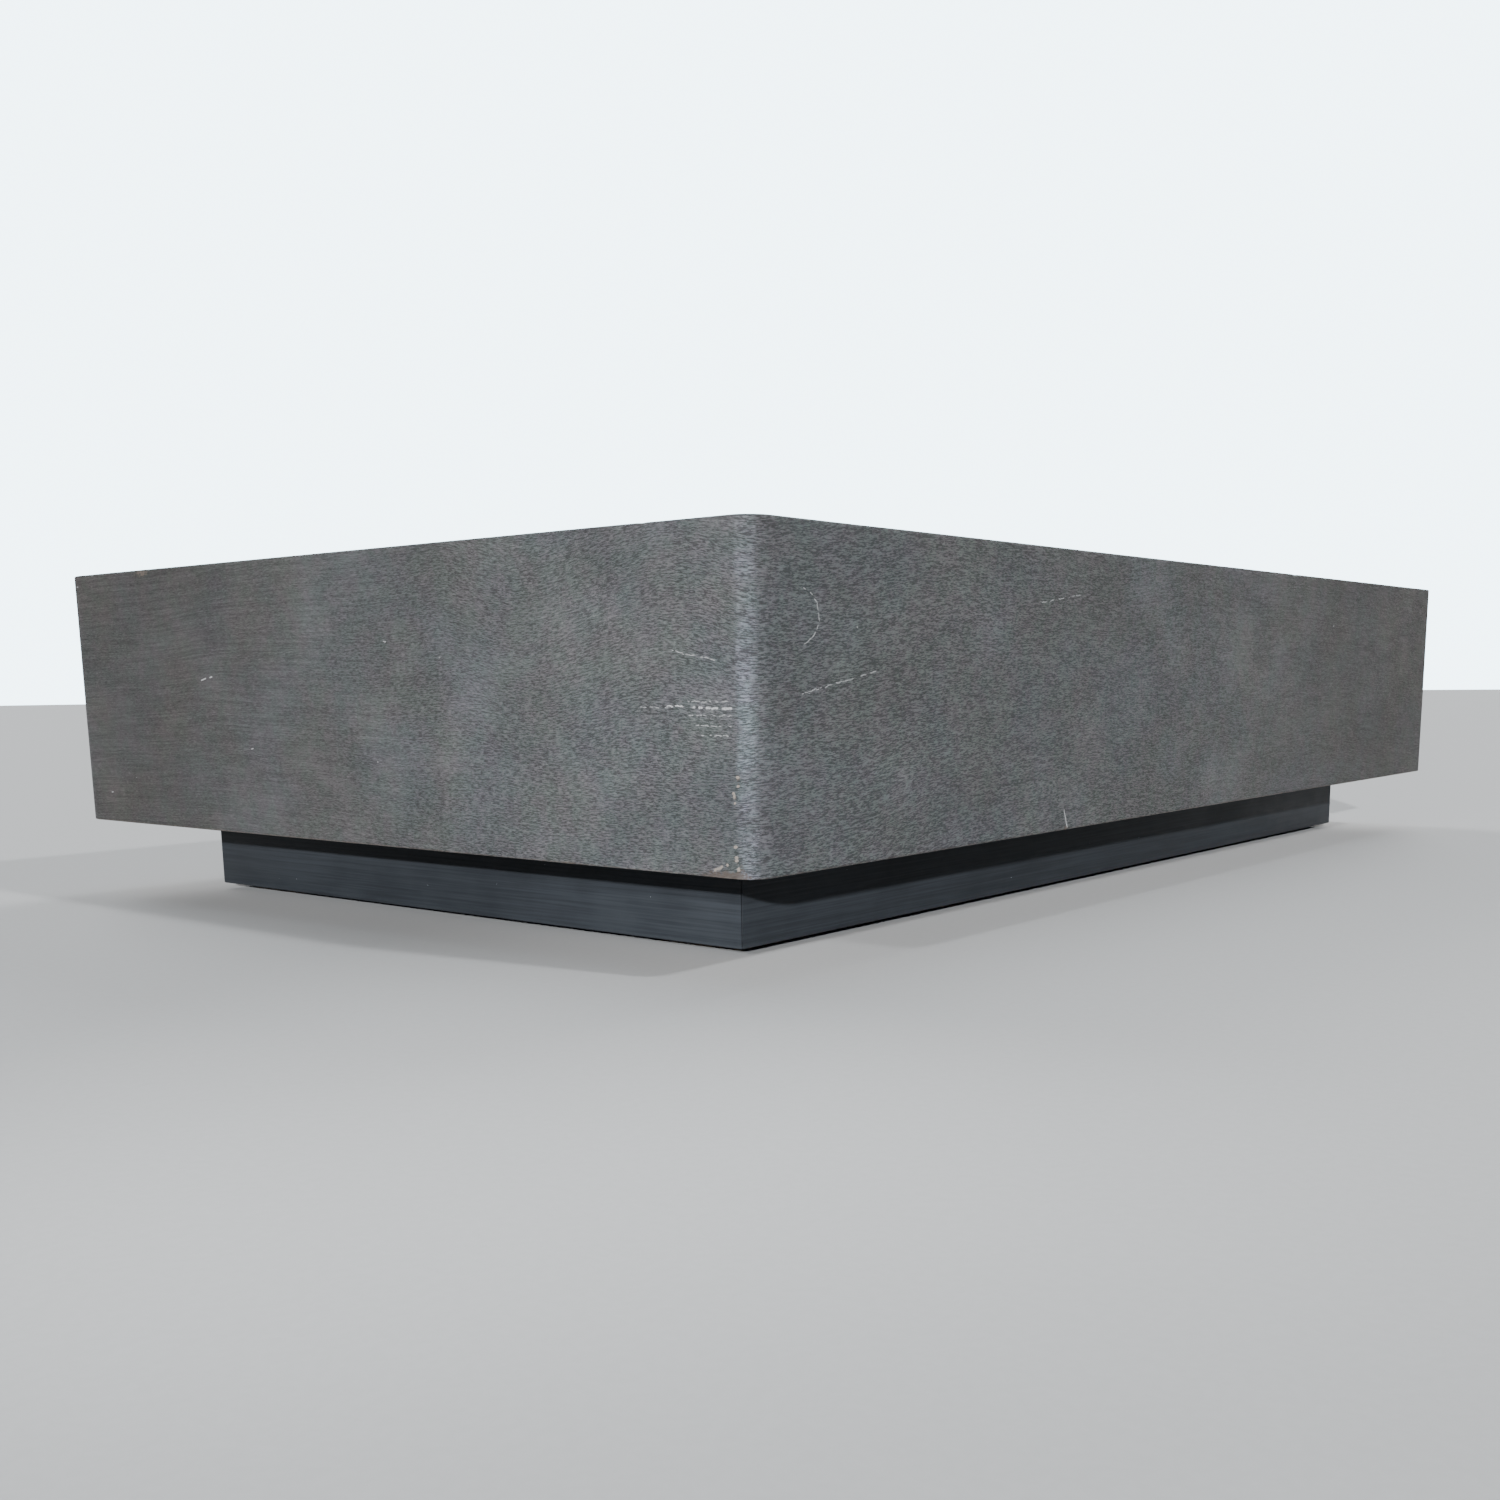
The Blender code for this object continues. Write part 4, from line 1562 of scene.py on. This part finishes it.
@dataclass
class Underfoot:
    """The glides under the plinth, and the screws that hold them and the block."""

    nylon: bpy.types.Material
    steel: bpy.types.Material
    edge: float = 1.0 * MM
    ease: float = 0.3 * MM
    bore: float = 2.05 * MM
    seat: float = 4.3 * MM
    glide_shank: float = 1.75 * MM
    plinth_shank: float = 2.5 * MM
    pan: float = 3.0 * MM
    dome: float = 1.2 * MM

    def glide_section(self) -> list[Point2]:
        """A glide's section: a bored disc with a round rim and a countersink.

        Returns:
            The section's points, from the bore's head round the outside.
        """
        low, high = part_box("glide_front_left")
        radius = (high.x - low.x) / 2
        rim = [
            (radius - self.edge * (1 - math.cos(a)), self.edge * (1 - math.sin(a)))
            for a in np.linspace(0, math.pi / 2, 5)
        ]
        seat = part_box("glide_screw_front_left")[0].z + self.ease
        head = [(self.bore, high.z), (radius - self.ease, high.z), (radius, high.z - self.ease)]
        sunk = [(self.seat + self.ease, 0.0), (self.seat, self.ease), (self.seat, seat)]
        return head + rim + sunk + [(self.bore, seat + self.seat - self.bore)]

    def glide_screw_section(self) -> list[Point2]:
        """The countersunk screw that holds a glide, with its thread.

        Returns:
            The section's points, from the head's foot to the tip.
        """
        low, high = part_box("glide_screw_front_left")
        head = (high.x - low.x) / 2
        brim = low.z + self.ease
        neck = brim + head - self.glide_shank
        section = [(0.0, low.z), (head, low.z), (head, brim), (self.glide_shank, neck)]
        return section + thread(neck, high.z, self.glide_shank, 3.0 * MM, 1.2 * MM)

    def plinth_screw_section(self) -> list[Point2]:
        """The pan-headed screw up through a plinth block, with its thread.

        Returns:
            The section's points, from the head's foot to the tip.
        """
        low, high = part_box("plinth_screw_front_left")
        head = (high.x - low.x) / 2
        seat = low.z + self.pan
        dome = [
            (head * math.sin(a), low.z + self.dome * (1 - math.cos(a)))
            for a in np.linspace(0, math.pi / 2, 6)
        ]
        neck = [(head, seat), (self.plinth_shank, seat)]
        return dome + neck + thread(seat, high.z, self.plinth_shank, 5.0 * MM, 1.8 * MM)

    def build(self) -> None:
        """Makes the glides and both kinds of screw."""
        small, large = named("glide_screw"), named("plinth_screw")
        glides = [name for name in named("glide_") if name not in small]
        sections = (self.glide_section(), self.glide_screw_section(), self.plinth_screw_section())
        steel = (Slot.STEEL, self.steel, 24)
        sets = (
            TurnedSet("glides", glides, sections[0], Slot.NYLON, self.nylon, 48),
            TurnedSet("glide_screws", small, sections[1], *steel, 4.4 * MM, 1.2 * MM),
            TurnedSet("plinth_screws", large, sections[2], *steel, 5.0 * MM, 1.5 * MM),
        )
        for turned in sets:
            turned.build()


def thread(start: float, end: float, radius: float, point: float, pitch: float) -> list[Point2]:
    """A wood screw's threaded section.

    Args:
        start: The height where the shank starts.
        end: The height of its tip.
        radius: The thread's outer radius.
        point: The length of the tapered point.
        pitch: The height of one turn.

    Returns:
        The section's points from the start to the tip.
    """
    root = 0.72 * radius
    turns = int((end - point - start - 2 * pitch) / pitch)
    first = end - point - turns * pitch
    section = [(radius, start + 0.2 * pitch), (radius, first - 0.5 * pitch)]
    section.append((root, first - 0.4 * pitch))
    for turn in range(turns):
        height = first + turn * pitch
        section += [(root, height), (radius, height + 0.45 * pitch), (root, height + 0.9 * pitch)]
    return section + [(root, end - point), (0.0, end)]


# ------------------------------------------------------------------ studio


class LampKind(Enum):
    """What a lamp is: far away with even light, or near with a soft-edged beam."""

    SUN = "SUN"
    SPOT = "SPOT"


@dataclass(frozen=True)
class Lamp:
    """A studio lamp aimed at the table, hidden from the camera."""

    name: str
    kind: LampKind
    place: Point3
    aim: Point3
    power: float
    spread: float
    colour: Colour = (1.0, 1.0, 1.0)
    radius: float = 0.03

    def build(self) -> None:
        """Hangs the lamp."""
        light = bpy.data.lights.new(self.name, self.kind.value)
        light.energy = self.power
        light.color = self.colour
        if self.kind is LampKind.SUN:
            light.angle = math.radians(self.spread)
        else:
            light.spot_size = math.radians(self.spread)
            light.spot_blend = 1.0
            light.shadow_soft_size = self.radius
        lamp = new_piece(self.name, light)
        lamp.visible_camera = False
        lamp.location = self.place
        aim = Vector(self.aim) - Vector(self.place)
        lamp.rotation_euler = aim.to_track_quat("-Z", "Y").to_euler()


@dataclass(frozen=True)
class Camera:
    """The camera, low and close to the front left corner."""

    place: Point3 = (-1.2991, -0.9586, 0.1805)
    heading: float = 38.73
    pitch: float = -10.25
    roll: float = 0.60
    lens: float = 37.67
    shift_x: float = -0.0269
    shift_y: float = 0.14

    def build(self) -> None:
        """Sets the camera up and makes it the scene's."""
        data = bpy.data.cameras.new("camera")
        data.lens = self.lens
        data.sensor_width = 36.0
        data.shift_x = self.shift_x
        data.shift_y = self.shift_y
        heading, pitch, roll = (math.radians(a) for a in (self.heading, self.pitch, self.roll))
        ahead = Vector(
            (math.cos(pitch) * math.cos(heading), math.cos(pitch) * math.sin(heading), math.sin(pitch))
        )
        level = ahead.cross(Vector((0, 0, 1))).normalized()
        down = ahead.cross(level)
        right = math.cos(roll) * level + math.sin(roll) * down
        lower = math.cos(roll) * down - math.sin(roll) * level
        axes = Matrix((right, -lower, -ahead)).transposed()
        camera = new_piece("camera", data)
        camera.matrix_world = Matrix.Translation(self.place) @ axes.to_4x4()
        bpy.context.scene.camera = camera


@dataclass
class Studio:
    """A pale floor, a pale backdrop and soft lamps."""

    backdrop: Colour = (0.72, 0.90, 1.0)
    seen: float = 7.0
    ambient: float = 0.08
    reach: float = 14.0
    lamps: tuple[Lamp, ...] = (
        Lamp("key_lamp", LampKind.SUN, (-3.3, -2.15, 1.0), (0.0, 0.0, 0.0), 7.3, 1.2),
        Lamp("front_lamp", LampKind.SUN, (0.15, -1.0, 0.85), (0.0, 0.0, 0.0), 2.0, 3.0),
        Lamp("left_lamp", LampKind.SPOT, (-1.9, -0.40, 0.56), (-0.6, -0.52, 0.09), 64.0, 42.0),
        Lamp("back_lamp", LampKind.SUN, (0.25, 1.0, 0.72), (0.0, 0.0, 0.0), 2.3, 30.0),
        Lamp("far_side_lamp", LampKind.SUN, (1.0, 0.2, 0.72), (0.0, 0.0, 0.0), 2.3, 30.0),
        Lamp("overhead", LampKind.SUN, (0.0, 0.0, 3.0), (0.0, 0.0, 0.0), 0.2, 50.0),
    )

    def build(self) -> None:
        """Builds the studio."""
        shape = bmesh.new()
        bmesh.ops.create_circle(shape, cap_ends=True, segments=96, radius=self.reach)
        floor = new_piece("studio_floor", mesh_of(shape, "studio_floor"))
        floor.data.materials.append(StudioPaper().build())
        world = bpy.data.worlds.new("studio")
        world.use_nodes = True
        writer = NodeWriter(world.node_tree)
        colour = (*self.backdrop, 1.0)
        dim = world.node_tree.nodes["Background"]
        dim.inputs["Color"].default_value = colour
        dim.inputs["Strength"].default_value = self.ambient
        bright = writer.node("ShaderNodeBackground", {"Color": colour, "Strength": self.seen})
        path = writer.tree.nodes.new("ShaderNodeLightPath")
        inputs = {0: path.outputs["Is Camera Ray"], 1: dim.outputs[0], 2: bright.outputs[0]}
        mixed = writer.node("ShaderNodeMixShader", inputs)
        writer.feed(writer.tree.nodes["World Output"].inputs["Surface"], mixed.outputs[0])
        bpy.context.scene.world = world
        for lamp in self.lamps:
            lamp.build()


def main() -> None:
    """Builds the table's sub-assemblies in order, then the studio round them."""
    logging.basicConfig(level=logging.INFO, format="%(name)s %(message)s")
    softwood = SawnWood("softwood", (0.56, 0.40, 0.235), (0.40, 0.255, 0.13), (60.0, 60.0, 3.0), 3.0)
    beech = SawnWood("beech", (0.60, 0.42, 0.27), (0.48, 0.32, 0.19), (200.0, 200.0, 12.0), 2.0)
    wood = softwood.build()
    Carcass(Fibreboard().build(), wood, beech.build()).dress()
    Plinth(SatinPaint().build(), wood).build()
    Underfoot(Nylon().build(), ZincSteel().build()).build()
    coat = TexturedCoat()
    skin = coat.build()
    MarksOfUse(coat, skin).build()
    Studio().build()
    Camera().build()


if __name__ == "__main__":
    main()
